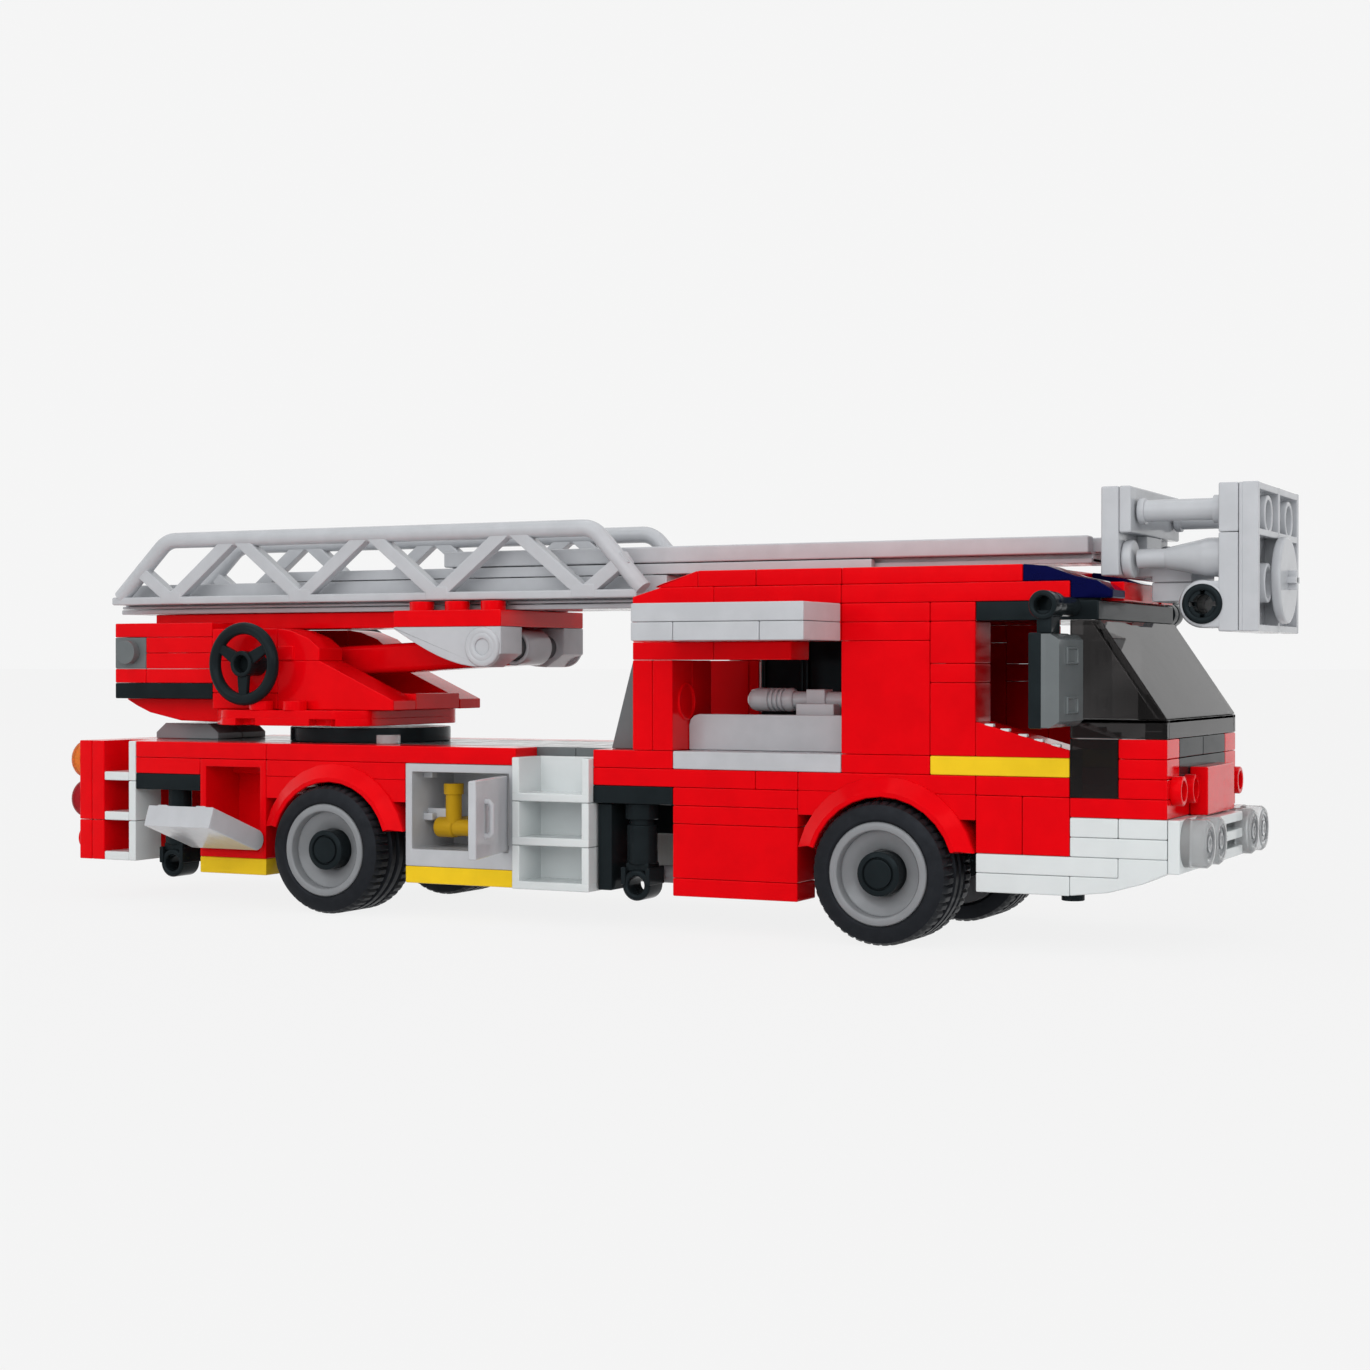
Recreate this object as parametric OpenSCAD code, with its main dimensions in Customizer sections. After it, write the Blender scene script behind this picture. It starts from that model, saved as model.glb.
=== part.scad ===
// Turntable-ladder fire engine, a toy built from interlocking plastic bricks.
// Millimetres. +X is the front of the engine, +Y its left side, +Z up, the ground is z = 0.
// Lengths along the engine count in studs behind the cab's front face, heights count in
// plates above the deck line, and widths count in studs from the centre plane.

/* [Brick module] */
// Pitch of the studs, along and across
stud = 8; // [6.7:0.1:9.6]
// Height of one plate
plate = 3.2; // [2.7:0.1:3.9]
// Diameter of a stud
stud_d = 4.8; // [4:0.1:5]
// Diameter of a plain bar
bar_d = 3.2; // [2.6:0.1:3.4]
// Diameter of the pin holes
pin_hole_d = 4.8; // [4.2:0.1:5]
// Thickness of moulded panels
panel_t = 1.5; // [1:0.1:2]
// Play between pieces that move past each other
play = 0.3; // [0.2:0.05:0.5]

/* [Wheels] */
// Height of the deck line above the ground, in plates
deck_line = 9; // [9:0.5:10]
// Outer diameter of the tyres
tyre_d = 24.3; // [20:0.1:24.6]
// Width of the tyres
tyre_w = 14; // [11:0.5:14]
// Outer diameter of the rims
rim_d = 17.6; // [15:0.1:19]
// Diameter of the hub caps
hub_cap_d = 7.5; // [6:0.1:9]

/* [Ladder] */
// Height of the side trusses above the ladder bed
truss_h = 14.6; // [12:0.1:15]
// Thickness of the ladder's sections where they slide
slide_t = 0.4; // [0.3:0.05:0.6]

/* [Doors] */
// How far the drop flaps stand above level, in degrees
flap_rest = 20; // [10:1:45]
// How far the cupboard doors stand open, in degrees
door_rest = 105; // [90:1:110]
// Thickness of the drop flaps
flap_t = 4; // [3:0.1:4.5]

/* [Hidden] */
$fn = 48;

tail_len = 28.3 * stud;                 // from the front face to the tail lights
nose_len = 1.95 * stud;                 // folded basket ahead of the front face
front_x = (tail_len - nose_len) / 2;    // front face, with the origin at mid length
deck_z = deck_line * plate;             // height of the deck line
side_y = 3 * stud;                      // half the body width
axle_z = tyre_d / 2;
axles_n = [6, 20];                      // front and rear axle, studs behind the front
tyre_in = side_y + 3.6 - tyre_w;        // inner face of a tyre
arch_r = tyre_d / 2 + 1;                // inside of a mudguard
arch_out = arch_r + 3.2;

turn_n = 21;                            // turntable centre
arm_n = 23;                             // axle of the lifting arm
arm_z = deck_z + 5.8 * plate;
tilt_n = 16.5;                          // ladder hinge at the front of the boom plate
tilt_z = deck_z + 6.8 * plate;
hub_n = -0.45;                          // hinge of the basket, ahead of the front face
hub_z = deck_z + 8.8 * plate;
head_n = -0.77;                         // rear face of the basket's floor plates
door_n = 15.2;                          // hinge of the cupboard doors
door_w = 2.55 * stud;                   // width of a cupboard door
flap_y = side_y + play + flap_t / 2;    // hinge of the drop flaps
flap_z = deck_z - 4.8 * plate;
flap_len = 15;

// levels of the telescoping ladder, from its underside up
bed_z = deck_z + 9 * plate;
truss_z = bed_z + 0.6 * plate;
middle_z = bed_z + 2 * plate - 0.1;
upper_z = middle_z + slide_t + 0.1;
section_len = 16 * stud;

function fx(n) = front_x - n * stud;
function pz(p) = deck_z + p * plate;

// a block given by its rear and front in studs, its sides in studs and its levels in plates
module block(n0, n1, y0, y1, p0, p1)
    translate([fx(n0), y0 * stud, pz(p0)])
        cube([(n0 - n1) * stud, (y1 - y0) * stud, (p1 - p0) * plate]);

// the same piece on both sides
module both() { children(); mirror([0, 1, 0]) children(); }

// a round bar along Y between two widths in mm
module bar_y(x, z, y0, y1, d)
    translate([x, y0, z]) rotate([-90, 0, 0]) cylinder(d = d, h = y1 - y0);

// a round bar along X
module bar_x(x0, x1, y, z, d)
    translate([x0, y, z]) rotate([0, 90, 0]) cylinder(d = d, h = x1 - x0);

// an outline in X and Z, drawn across a width
module across(y0, y1) translate([0, y1, 0]) rotate([90, 0, 0]) linear_extrude(y1 - y0) children();

// an outline given in studs and plates, drawn across a width in studs
module profile(y0, y1, points)
    across(y0 * stud, y1 * stud) polygon([for (q = points) [fx(q[0]), pz(q[1])]]);

module stud_at(n, y, p)
    translate([fx(n), y * stud, pz(p)]) cylinder(d = stud_d, h = 0.55 * plate);

// ---------- chassis and rear body ----------

module chassis_frame() color("dimgray") {
    difference() {
        union() {
            block(25, 2, -1, 1, -4, -2);
            block(4.4, 1.2, -1.5, 1.5, -5.8, -4);
            for (n = axles_n) translate([fx(n) - stud / 2, -1.5 * stud, axle_z - bar_d])
                cube([stud, 3 * stud, pz(-4) - axle_z + bar_d]);
        }
        for (n = axles_n) bar_y(fx(n), axle_z, -1.5 * stud - 1, 1.5 * stud + 1, bar_d + 0.1);
    }
    for (n = axles_n) bar_y(fx(n), axle_z, -side_y - 2, side_y + 2, bar_d);
}

module deck() color("gray") {
    block(26, 12, -2, 2, 0, 1);
    profile(-1, 1, [[27, 1], [27, 1.4], [26.7, 2], [25.3, 2], [25, 1.4], [25, 1]]);
}

module rear_body() color("red") {
    both() {
        block(26, 15, 2, 3, 0, 1);
        block(26, 24, 2, 3, -1, 0);
        difference() {
            block(24, 22, 1.5, 3, -6, 0);
            translate([fx(24) + panel_t, 1.5 * stud + panel_t, pz(-5.55)])
                cube([2 * stud - 2 * panel_t, 1.5 * stud, 5.05 * plate]);
        }
    }
    block(26, 18, -1.95, 1.95, -1, 0);
    block(18, 15, -1, 1, -1, 0);
    block(15, 13, -1.95, 1.95, -1, 0);
    block(26, 13, -1, 1, -2, -1);
}

module tail_panel() color("red") {
    translate([fx(27) - 2 * plate, -side_y, pz(-6.5)]) cube([2 * plate, 2 * side_y, 7.5 * plate]);
    block(27, 26, -2, 2, -6.5, 1);
}

module tail_lights() color("orange")
    both() for (i = [0, 1])
        translate([fx(27) - 2 * plate, 2.5 * stud, pz(-0.25) - i * stud]) rotate([0, -90, 0]) {
            cylinder(d = stud * 0.98, h = 1.5);
            translate([0, 0, 1.5]) cylinder(d1 = stud * 0.98, d2 = stud * 0.6, h = 2.5);
        }

module rear_rack() color("white")
    both() translate([fx(27), 2 * stud, pz(-6.5)]) {
        translate([stud - 1.8, 0, 0]) cube([1.8, stud, 7.5 * plate]);
        for (i = [0:2]) translate([0, 0, i * stud]) cube([stud, stud, 1.8]);
    }

module yellow_plates() color("gold") both() {
    block(24, 22, 2, 3, -7, -6);
    block(18, 15, 2, 3, -7, -6);
    block(5, 2, 2, 3, 0, 1);
}

module cupboards() color("lightgray") both()
    difference() {
        block(18, 15, 1, 3, -6, 0);
        translate([fx(18) + panel_t, stud + panel_t, pz(-5)])
            cube([3 * stud - 2 * panel_t, 2 * stud, 4.5 * plate]);
    }

module taps() color("gold") both() {
    bar_y(fx(17.1), pz(-3.8), stud + panel_t, 2.5 * stud, bar_d);
    bar_x(fx(17.7), fx(16), 2.5 * stud, pz(-3.8), bar_d + 0.8);
    translate([fx(17.1), 2.5 * stud, pz(-3.8)]) cylinder(d = bar_d + 0.8, h = 2.6 * plate);
}

module steps() color("white") both() for (i = [0:2])
    translate([fx(15), 2 * stud, pz(-7) + i * stud]) {
        cube([2 * stud, stud + panel_t, panel_t]);
        cube([panel_t, stud + panel_t, stud]);
        translate([2 * stud - panel_t, 0, 0]) cube([panel_t, stud + panel_t, stud]);
        cube([2 * stud, panel_t, stud]);
    }

// a post with a clip for a foot
module stabiliser(n, top) {
    translate([fx(n), 2.5 * stud, pz(-6)]) cylinder(d = bar_d + 1.4, h = (top + 6) * plate);
    difference() {
        bar_y(fx(n), pz(-6.55), 2.5 * stud - 3, 2.5 * stud + 3, 2 * plate);
        bar_y(fx(n), pz(-6.55), 2.5 * stud - 4, 2.5 * stud + 4, bar_d);
    }
}

module stabilisers() color("black") both() {
    block(13, 11, 2, 3, -2, -1);
    stabiliser(12, -2);
    translate([fx(12), 2.5 * stud, pz(-2.9)]) cylinder(d = stud * 0.8, h = 0.9 * plate);
    block(26, 24, 2, 3, -2, -1);
    stabiliser(25, -2);
}

module mudguards() color("red") both() for (n = axles_n)
    difference() {
        union() {
            block(n + 2, n - 2, 2, 3, -1, 0);
            translate([fx(n) - stud / 2, 2 * stud, axle_z + arch_r])
                cube([stud, stud, pz(-1) + 0.1 - axle_z - arch_r]);
            intersection() {
                bar_y(fx(n), axle_z, 2 * stud, side_y + 2, 2 * arch_out);
                translate([fx(n) - 2 * stud - 1, 0, pz(-4)]) cube([4 * stud + 2, side_y + 2, 4 * plate]);
            }
        }
        bar_y(fx(n), axle_z, 0, side_y + 3, 2 * arch_r);
    }

// ---------- cab and equipment bay ----------

module bay_frame() color("red") {
    both() {
        block(11, 8, 2, 3, -7, -1);                 // box under the bay
        block(13, 8, 2, 3, -1, 0);
        block(13, 11, 2, 3, 0, 1);
        block(12, 11, 2, 3, 1, 6);                  // column behind the bay
        block(12, 7, 2, 3, 6, 9);                   // lintel over the bay
    }
    block(12, 8, -1.95, 1.95, -1, 0);
}

module cab_body() color("red") {
    both() {
        block(7, 5, 2, 3, 0, 9);                    // wall behind the door
        block(5, 4, 2, 3, 1, 9);
        block(4, 2, 2, 3, -4, 0);                   // door below the yellow line
        profile(2, 3, [[4, 1], [4, 2.8], [2, 1.4], [2, 1]]);
        block(1, 0, 2, 3, -1, 2);                   // corner beside the windscreen
        for (y = [1.5, 2.5]) bar_x(fx(0), fx(-0.23), y * stud, pz(-0.6), stud_d);
    }
    block(8, 4, -1.95, 1.95, -1, 0);
    block(7, 6, -2, 2, 0, 9);
    block(4, 2, -2, 2, -2, -1);
    block(2, 0, -3, 3, -2, -1);
    block(1, 0, -2, 2, -1, 0);
    block(0, -0.38, -1.2, 1.2, -2, 0.5);
}

module bay_trim() color("lightgray") {
    both() {
        block(11, 7, 2, 3, 0, 1);
        across(2 * stud, 2 * stud + panel_t)
            polygon([[fx(11), pz(1)], [fx(7), pz(1)], [fx(7), pz(3)], [fx(11) + 2, pz(3)],
                     [fx(11) + 0.6, pz(3) - 0.6], [fx(11), pz(3) - 2]]);
        block(11, 7, 3, 5, 7, 9);
    }
    block(11, 7, -2, 2, 0, 1);
}

module slope_panels() color("dimgray")
    both() profile(2, 2.4, [[12, 1], [12, 6], [12.3, 6], [12.85, 1]]);

module roof() color("red") {
    profile(-3, 3, [[12, 9], [12, 9.5], [11.3, 10.2], [10.6, 10.65], [10, 10.9], [3, 10.9], [3, 9]]);
    both() block(3, 2, 2, 3, 9, 10);
    both() block(3, 1.15, 1, 2, 9, 10);
    block(3, 1.2, -1, 1, 9, 10);
}

module beacons() color("navy") both()
    profile(2, 3, [[3, 10], [3, 10.9], [2.5, 10.78], [1.9, 10.25], [1.45, 10], [1.12, 9.5],
                   [1.12, 9.1], [2, 9.1], [2, 10]]);

module cab_trim() color("black") {
    block(4, 1.4, -3, 3, 8, 9);
    block(1, 0, -2, 2, 0, 2);
}

module cab_seat() color("dimgray") {
    block(5.6, 4, -1.5, 1.5, 0, 1.2);
    block(6, 5.6, -1.5, 1.5, 0, 4);
}

module windows() color("darkslategray") {
    difference() {
        union() {
            block(2, 0, -3, 3, 2, 3);
            profile(-3, 3, [[2, 3], [2, 8], [1.37, 8], [0, 3]]);
        }
        across(-side_y + panel_t, side_y - panel_t)
            polygon([[fx(2) - 1, pz(2) + 0.6], [fx(2) - 1, pz(8) + 1], [fx(1.37) - panel_t, pz(8) + 1],
                     [fx(1.37) - panel_t * 1.2, pz(8) - 1], [fx(0) - panel_t * 1.2, pz(3)],
                     [fx(0) - panel_t * 1.2, pz(2) + 0.6]]);
    }
    both() block(2, 1, 2.8, 3, -1, 2);
}

module bumper() color("white") {
    block(2, -0.25, -3, 3, -4, -2);
    block(0, -0.25, -3, 3, -4.7, -4);
    for (p = [-2.3, -3.2, -4.1]) block(-0.25, -0.6, -1, 1, p - 0.25, p + 0.25);
    both() {
        block(4, 2, 2, 3, -6, -4);
        profile(2, 3, [[2, -6], [2, -4], [0, -4], [0, -4.7], [0.5, -5.25], [1.2, -5.75]]);
    }
}

module headlights() color("whitesmoke") both() for (y = [1.5, 2.5])
    bar_x(fx(-0.25), fx(-0.75), y * stud, pz(-3.2), stud * 0.98);

module mirrors() color("dimgray") both() difference() {
    union() {
        translate([fx(2.24), side_y + 0.5, pz(2.6)]) cube([0.64 * stud, 1.95 * stud, 4.7 * plate]);
        translate([fx(1.95) - 1.2, side_y + 1.3 * stud, pz(7.3)]) cube([2.4, 0.6 * stud, plate]);
        bar_y(fx(1.95), pz(8.65), side_y, side_y + 1.3 * stud, bar_d);
        bar_y(fx(1.95), pz(8.65), side_y + 1.25 * stud, side_y + 2 * stud, 2 * bar_d);
    }
    bar_y(fx(1.95), pz(8.65), side_y + 1.6 * stud, side_y + 2 * stud + 1, bar_d);
}

module bay_tools() color("gray") both() {
    bar_x(fx(10), fx(7), 1.5 * stud, pz(3.8), bar_d);
    bar_x(fx(9.8), fx(8.7), 1.5 * stud, pz(3.8), bar_d + 1);
    block(8.5, 7.5, 1, 2, 1, 3);
}

module turntable_ring() color("black")
    translate([fx(turn_n), 0, pz(1)]) cylinder(r = 2 * stud, h = plate - play, $fn = 96);

// ---------- turret ----------

module turret() color("red") {
    intersection() {
        block(25, 19.7, -2.5, 2.5, 2, 3);
        translate([fx(turn_n + 1), 0, 0]) cylinder(r = 3 * stud, h = pz(4), $fn = 96);
    }
    both() difference() {
        profile(1, 2, [[24.4, 3], [24.4, 8], [22.4, 8], [22, 7.85], [21.5, 7.4], [21.15, 6.75],
                       [21.15, 6], [19, 3.6], [19, 3]]);
        bar_y(fx(arm_n), arm_z, 0, 3 * stud, pin_hole_d);
    }
    block(20, 19, -1, 1, 3, 4);
    profile(-1.5, 1.5, [[27.6, 3.6], [26.8, 2.7], [25.8, 2.2], [24, 2.1], [24, 3.6]]);
}

module counterweight() color("red") {
    block(27.5, 24.4, -2, 2, 3.6, 4.6);
    both() {
        translate([fx(27.5), stud + play, pz(4.6)]) cube([3.1 * stud, stud - play, 3.8 * plate]);
        bar_y(fx(27), pz(6.55), 2 * stud, 2 * stud + 0.55 * plate, stud_d);
    }
}

module hand_wheel() color("black") {
    rim_y = 2 * stud + 4.4;
    bar_y(fx(arm_n), arm_z, -rim_y, rim_y, pin_hole_d - 0.1);
    both() translate([fx(arm_n), rim_y, arm_z]) {
        rotate([90, 0, 0]) rotate_extrude($fn = 64) translate([7, 0]) circle(r = 1.2, $fn = 16);
        for (a = [90, 210, 330]) rotate([0, a, 0]) translate([0, -0.8, -1.1]) cube([6.4, 1.4, 2.2]);
    }
}

module lift_arm() color("red")
    difference() {
        union() {
            bar_y(fx(arm_n), arm_z, -0.9 * stud, 0.9 * stud, 7);
            bar_y(fx(tilt_n), tilt_z, -0.55 * stud, 0.55 * stud, 7);
            across(-0.55 * stud, 0.55 * stud)
                polygon([[fx(arm_n), arm_z - 3], [fx(arm_n), arm_z + 3], [fx(19.6), tilt_z + 1],
                         [fx(tilt_n), tilt_z + 2], [fx(tilt_n), tilt_z - 3.4]]);
        }
        bar_y(fx(tilt_n), tilt_z, -stud, stud, pin_hole_d + 0.2);
        bar_y(fx(arm_n), arm_z, -stud, stud, pin_hole_d + 0.1);
    }

// ---------- ladder ----------

module boom_plate() color("red") {
    block(27, 19, -1, 1, 8, 9);
    block(19, 16, -2, 2, 8, 9);
    both() for (n = [16.5:1:18.5]) stud_at(n, 1.5, 9);
}

module boom_brackets() color("lightgray") {
    both() union() {
        bar_y(fx(tilt_n), tilt_z, stud, 2 * stud + 0.4, 7.6);
        profile(1, 2, [[19, 8], [18.9, 7.6], [18.4, 6.9], [17.7, 6.2], [17, 5.8], [tilt_n, 5.6],
                       [16, 6.4], [16, 8]]);
    }
    bar_y(fx(tilt_n), tilt_z, -stud, stud, pin_hole_d);
}

// a strut between two points in X and Z, round or flat
module strut(a, b, y, d, flat) {
    run = norm(b - a);
    translate([a[0], y, a[1]]) rotate([0, 90 - atan2(b[1] - a[1], b[0] - a[0]), 0])
        if (flat) translate([-d / 2, -bar_d / 2 + 0.4, 0]) cube([d, bar_d - 0.8, run]);
        else cylinder(d = d, h = run);
}

// side truss: a tube on top, bent down at both ends, over a zigzag of flat bars
module truss() {
    y = 1.5 * stud;
    top = truss_z + truss_h - bar_d / 2;
    foot = truss_z + bar_d / 2;
    bar_x(fx(26.2), fx(13.8), y, top, bar_d);
    for (n = [26.2, 13.8]) translate([fx(n), y, top]) sphere(d = bar_d + 0.1);
    strut([fx(27.7), foot], [fx(26.2), top], y, bar_d, false);
    strut([fx(12.5), foot], [fx(13.8), top], y, bar_d, false);
    translate([fx(27.9), stud, truss_z]) cube([15.3 * stud, stud / 2 + bar_d / 2 - 0.4, bar_d / 2]);
    for (n = [26, 22, 18, 14]) {
        strut([fx(n), foot], [fx(n + (n == 26 ? 1.2 : 1.9)), n == 26 ? foot + 6.4 : top], y, 2.6, true);
        strut([fx(n), foot], [fx(n - (n == 14 ? 1 : 1.9)), n == 14 ? foot + 6.4 : top], y, 2.6, true);
    }
}

module ladder_lower() color("silver") {
    translate([fx(28), -1.15 * stud, bed_z]) cube([section_len - 1.2, 2.3 * stud, truss_z - bed_z - 0.2]);
    translate([fx(28), -stud, bed_z]) cube([section_len - 1.2, 2 * stud, middle_z - bed_z - 0.1]);
}

module ladder_trusses() color("silver") both() truss();

module ladder_middle() color("silver")
    translate([fx(23.1), 0, middle_z]) difference() {
        translate([0, -stud, 0]) cube([section_len, 2 * stud, 0.6 * plate]);
        translate([-1, -0.79 * stud, slide_t]) cube([section_len + 2, 1.58 * stud, plate]);
    }

module ladder_upper() color("silver") {
    translate([fx(18.2), -0.75 * stud, upper_z]) cube([section_len, 1.5 * stud, 0.28 * plate]);
    translate([fx(18.2), -0.62 * stud, upper_z]) cube([section_len, 1.24 * stud, 0.5 * plate]);
    translate([fx(18.2), -stud, upper_z + 0.5 * plate]) cube([section_len, 2 * stud, 0.94 * plate]);
    block(2.3, 1.65, -0.5, 0.5, 11.7, 12.5);
}

module ladder_head() color("silver") {
    block(1.65, 1.27, -2, 2, 10.3, 14.9);
    block(1.27, 1.02, -2, 2, 12.5, 14.9);
    both() bar_x(fx(1.27), fx(1.05), 1.5 * stud, pz(11.2), 2 * bar_d);
    block(1.27, 0.85, -1, 1, 10.3, 11.3);
}

module basket_hinge() color("silver") difference() {
    union() {
        block(0.85, 0, -1, 1, 9, 11.3);
        translate([fx(0), -stud, pz(9)]) cube([-hub_n * stud, 2 * stud, 0.5]);
        bar_y(fx(hub_n), hub_z, -stud, stud, 7.6);
        bar_y(fx(hub_n), hub_z, -2 * stud, 2 * stud, pin_hole_d - 0.1);
    }
    bar_y(fx(hub_n), hub_z, -2 * stud - 1, 2 * stud + 1, bar_d);
}

module basket() color("silver") {
    disc_z = pz(10.1);
    difference() {
        union() {
            translate([fx(head_n), -2 * stud, pz(7.4)]) cube([2 * plate, 4 * stud, 7.5 * plate]);
            both() bar_y(fx(hub_n), hub_z, 1.1 * stud, 2 * stud, 7.8);
        }
        bar_y(fx(hub_n), hub_z, -1.1 * stud, 1.1 * stud, 8.6);
        bar_y(fx(hub_n), hub_z, -3 * stud, 3 * stud, pin_hole_d);
    }
    bar_x(fx(head_n) + 2 * plate, fx(head_n) + 2.5 * plate, 0, disc_z, 1.8 * stud);
    bar_x(fx(head_n) + 2.5 * plate, fx(-1.95), 0, disc_z, bar_d);
}

module basket_rails() color("silver") both() {
    bar_x(fx(1.02) + play, fx(head_n), 1.5 * stud, pz(13.65), bar_d + 0.5);
    bar_x(fx(1.02) + play, fx(0.4), 1.5 * stud, pz(11.2), bar_d);
    translate([fx(0.4), 1.5 * stud, pz(11.2)]) rotate([0, 90, 0])
        cylinder(d1 = bar_d, d2 = 2 * bar_d, h = (0.4 - head_n) * stud);
}

// ---------- doors and wheels ----------

module cupboard_door() color("lightgray")
    translate([fx(door_n), side_y, pz(-5) + play]) rotate([0, 0, 90 - door_rest])
        translate([-panel_t, 0, 0]) cube([panel_t, door_w, 4.5 * plate - 2 * play]);

module drop_flap() color("lightgray")
    translate([fx(24) + 0.2, flap_y, flap_z]) rotate([flap_rest, 0, 0]) {
        translate([0, 0, -flap_t / 2]) cube([2 * stud - 0.4, flap_len, flap_t]);
        rotate([0, 90, 0]) cylinder(d = flap_t, h = 2 * stud - 0.4);
    }

module tyre(n) color("black")
    difference() {
        bar_y(fx(n), axle_z, tyre_in, tyre_in + tyre_w, tyre_d);
        bar_y(fx(n), axle_z, tyre_in - 1, tyre_in + tyre_w + 1, rim_d);
    }

module rim(n) color("gray") {
    out = tyre_in + tyre_w;
    difference() {
        union() {
            difference() {
                bar_y(fx(n), axle_z, tyre_in, out, rim_d);
                bar_y(fx(n), axle_z, out - 4, out + 1, rim_d - 3);
            }
            bar_y(fx(n), axle_z, out - 5, out - 0.3, hub_cap_d);
        }
        bar_y(fx(n), axle_z, tyre_in - 1, side_y + 2.2, bar_d + 0.2);
    }
}

chassis_frame();
deck();
rear_body();
tail_panel();
tail_lights();
rear_rack();
yellow_plates();
cupboards();
taps();
steps();
stabilisers();
mudguards();
bay_frame();
cab_body();
bay_trim();
slope_panels();
roof();
beacons();
cab_trim();
cab_seat();
windows();
bumper();
headlights();
mirrors();
bay_tools();
turntable_ring();
turret();
counterweight();
hand_wheel();
lift_arm();
boom_plate();
boom_brackets();
ladder_lower();
ladder_trusses();
ladder_middle();
ladder_upper();
ladder_head();
basket_hinge();
basket();
basket_rails();
cupboard_door();  // cupboard_door_left
mirror([0, 1, 0]) cupboard_door();  // cupboard_door_right
drop_flap();  // drop_flap_left
mirror([0, 1, 0]) drop_flap();  // drop_flap_right
tyre(axles_n[0]);  // tyre_front_left
mirror([0, 1, 0]) tyre(axles_n[0]);  // tyre_front_right
tyre(axles_n[1]);  // tyre_rear_left
mirror([0, 1, 0]) tyre(axles_n[1]);  // tyre_rear_right
rim(axles_n[0]);  // rim_front_left
mirror([0, 1, 0]) rim(axles_n[0]);  // rim_front_right
rim(axles_n[1]);  // rim_rear_left
mirror([0, 1, 0]) rim(axles_n[1]);  // rim_rear_right
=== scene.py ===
# %% [markdown]
# # A brick-built turntable-ladder fire engine
# The toy is pressed together from moulded plastic bricks, so almost every face is flat and every edge has a
# tiny radius that catches the light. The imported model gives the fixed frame: each piece made below takes
# its place from the boxes of that frame, and rides on one of its bodies.

import math

import bpy
import numpy as np
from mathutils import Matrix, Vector


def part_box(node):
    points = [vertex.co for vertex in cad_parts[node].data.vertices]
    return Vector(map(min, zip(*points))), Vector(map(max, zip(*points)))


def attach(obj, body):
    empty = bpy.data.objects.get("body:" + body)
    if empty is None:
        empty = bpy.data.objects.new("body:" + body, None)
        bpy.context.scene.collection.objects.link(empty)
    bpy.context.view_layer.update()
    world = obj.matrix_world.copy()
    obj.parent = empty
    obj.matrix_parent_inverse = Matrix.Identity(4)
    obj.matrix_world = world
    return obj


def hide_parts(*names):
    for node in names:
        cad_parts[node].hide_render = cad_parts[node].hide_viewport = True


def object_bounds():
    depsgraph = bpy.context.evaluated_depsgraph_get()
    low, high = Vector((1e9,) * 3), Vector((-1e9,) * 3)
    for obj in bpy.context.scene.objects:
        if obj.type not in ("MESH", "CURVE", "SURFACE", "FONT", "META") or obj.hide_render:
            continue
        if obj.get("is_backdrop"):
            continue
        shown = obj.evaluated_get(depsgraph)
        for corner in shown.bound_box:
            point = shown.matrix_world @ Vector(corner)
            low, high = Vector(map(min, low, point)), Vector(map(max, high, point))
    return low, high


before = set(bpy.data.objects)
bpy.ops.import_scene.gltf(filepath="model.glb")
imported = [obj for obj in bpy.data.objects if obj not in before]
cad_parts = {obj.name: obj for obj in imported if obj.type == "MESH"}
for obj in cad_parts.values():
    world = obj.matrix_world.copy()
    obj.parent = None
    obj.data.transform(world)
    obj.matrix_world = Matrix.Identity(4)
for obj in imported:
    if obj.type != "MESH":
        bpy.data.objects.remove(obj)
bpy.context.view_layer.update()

# %% [markdown]
# ## The module
# All sizes on such a toy count in two units: the pitch of the studs and the height of a plate. Working in
# those two units keeps every seam on its true line. Lengths run back from the front face in studs, heights
# run up from the deck line in plates, and widths run out from the centre plane in studs.

# %% Units and places
MM = 0.001
STUD = 8.0
PLATE = 3.2
STUD_R = 2.4
BAR_R = 1.6
EDGE = 0.22
SEAM = 0.035
WALL = 1.5

front_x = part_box("windows")[1].x / MM
deck_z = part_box("deck")[0].z / MM
side_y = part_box("cab_body")[1].y / MM


def fx(n):
    """Place along the engine, in mm, of a count of studs behind the front face."""
    return front_x - n * STUD


def pz(p):
    """Height in mm of a count of plates above the deck line."""
    return deck_z + p * PLATE


def limits(node):
    """The low and high corners of a node's box in the frame, in mm."""
    return [np.array(corner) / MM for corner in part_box(node)]


print("front face at", round(front_x, 2), "deck line at", round(deck_z, 2), "side at", round(side_y, 2))

# %% [markdown]
# ## One way to make every shape
# A moulded piece could be a cube with a Bevel modifier, but then nobody can say what its surface is. Here
# each shape is a skin over rings: an outline is carried along an axis, and at each step it may be drawn in
# a little. Drawing in and out near the ends gives the moulded radius; drawing in, then going back down,
# gives a hollow.

# %% Outlines
def circle(radius, sides=32, centre=(0.0, 0.0)):
    """Points (radius cos t, radius sin t) about a centre, t running once round."""
    t = np.linspace(0, 2 * np.pi, sides, endpoint=False)
    return np.stack([centre[0] + radius * np.cos(t), centre[1] + radius * np.sin(t)], 1)


def rect(a0, a1, b0, b1):
    """The four corners of a rectangle between two pairs of limits."""
    return np.array([[a0, b0], [a1, b0], [a1, b1], [a0, b1]], float)


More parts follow.
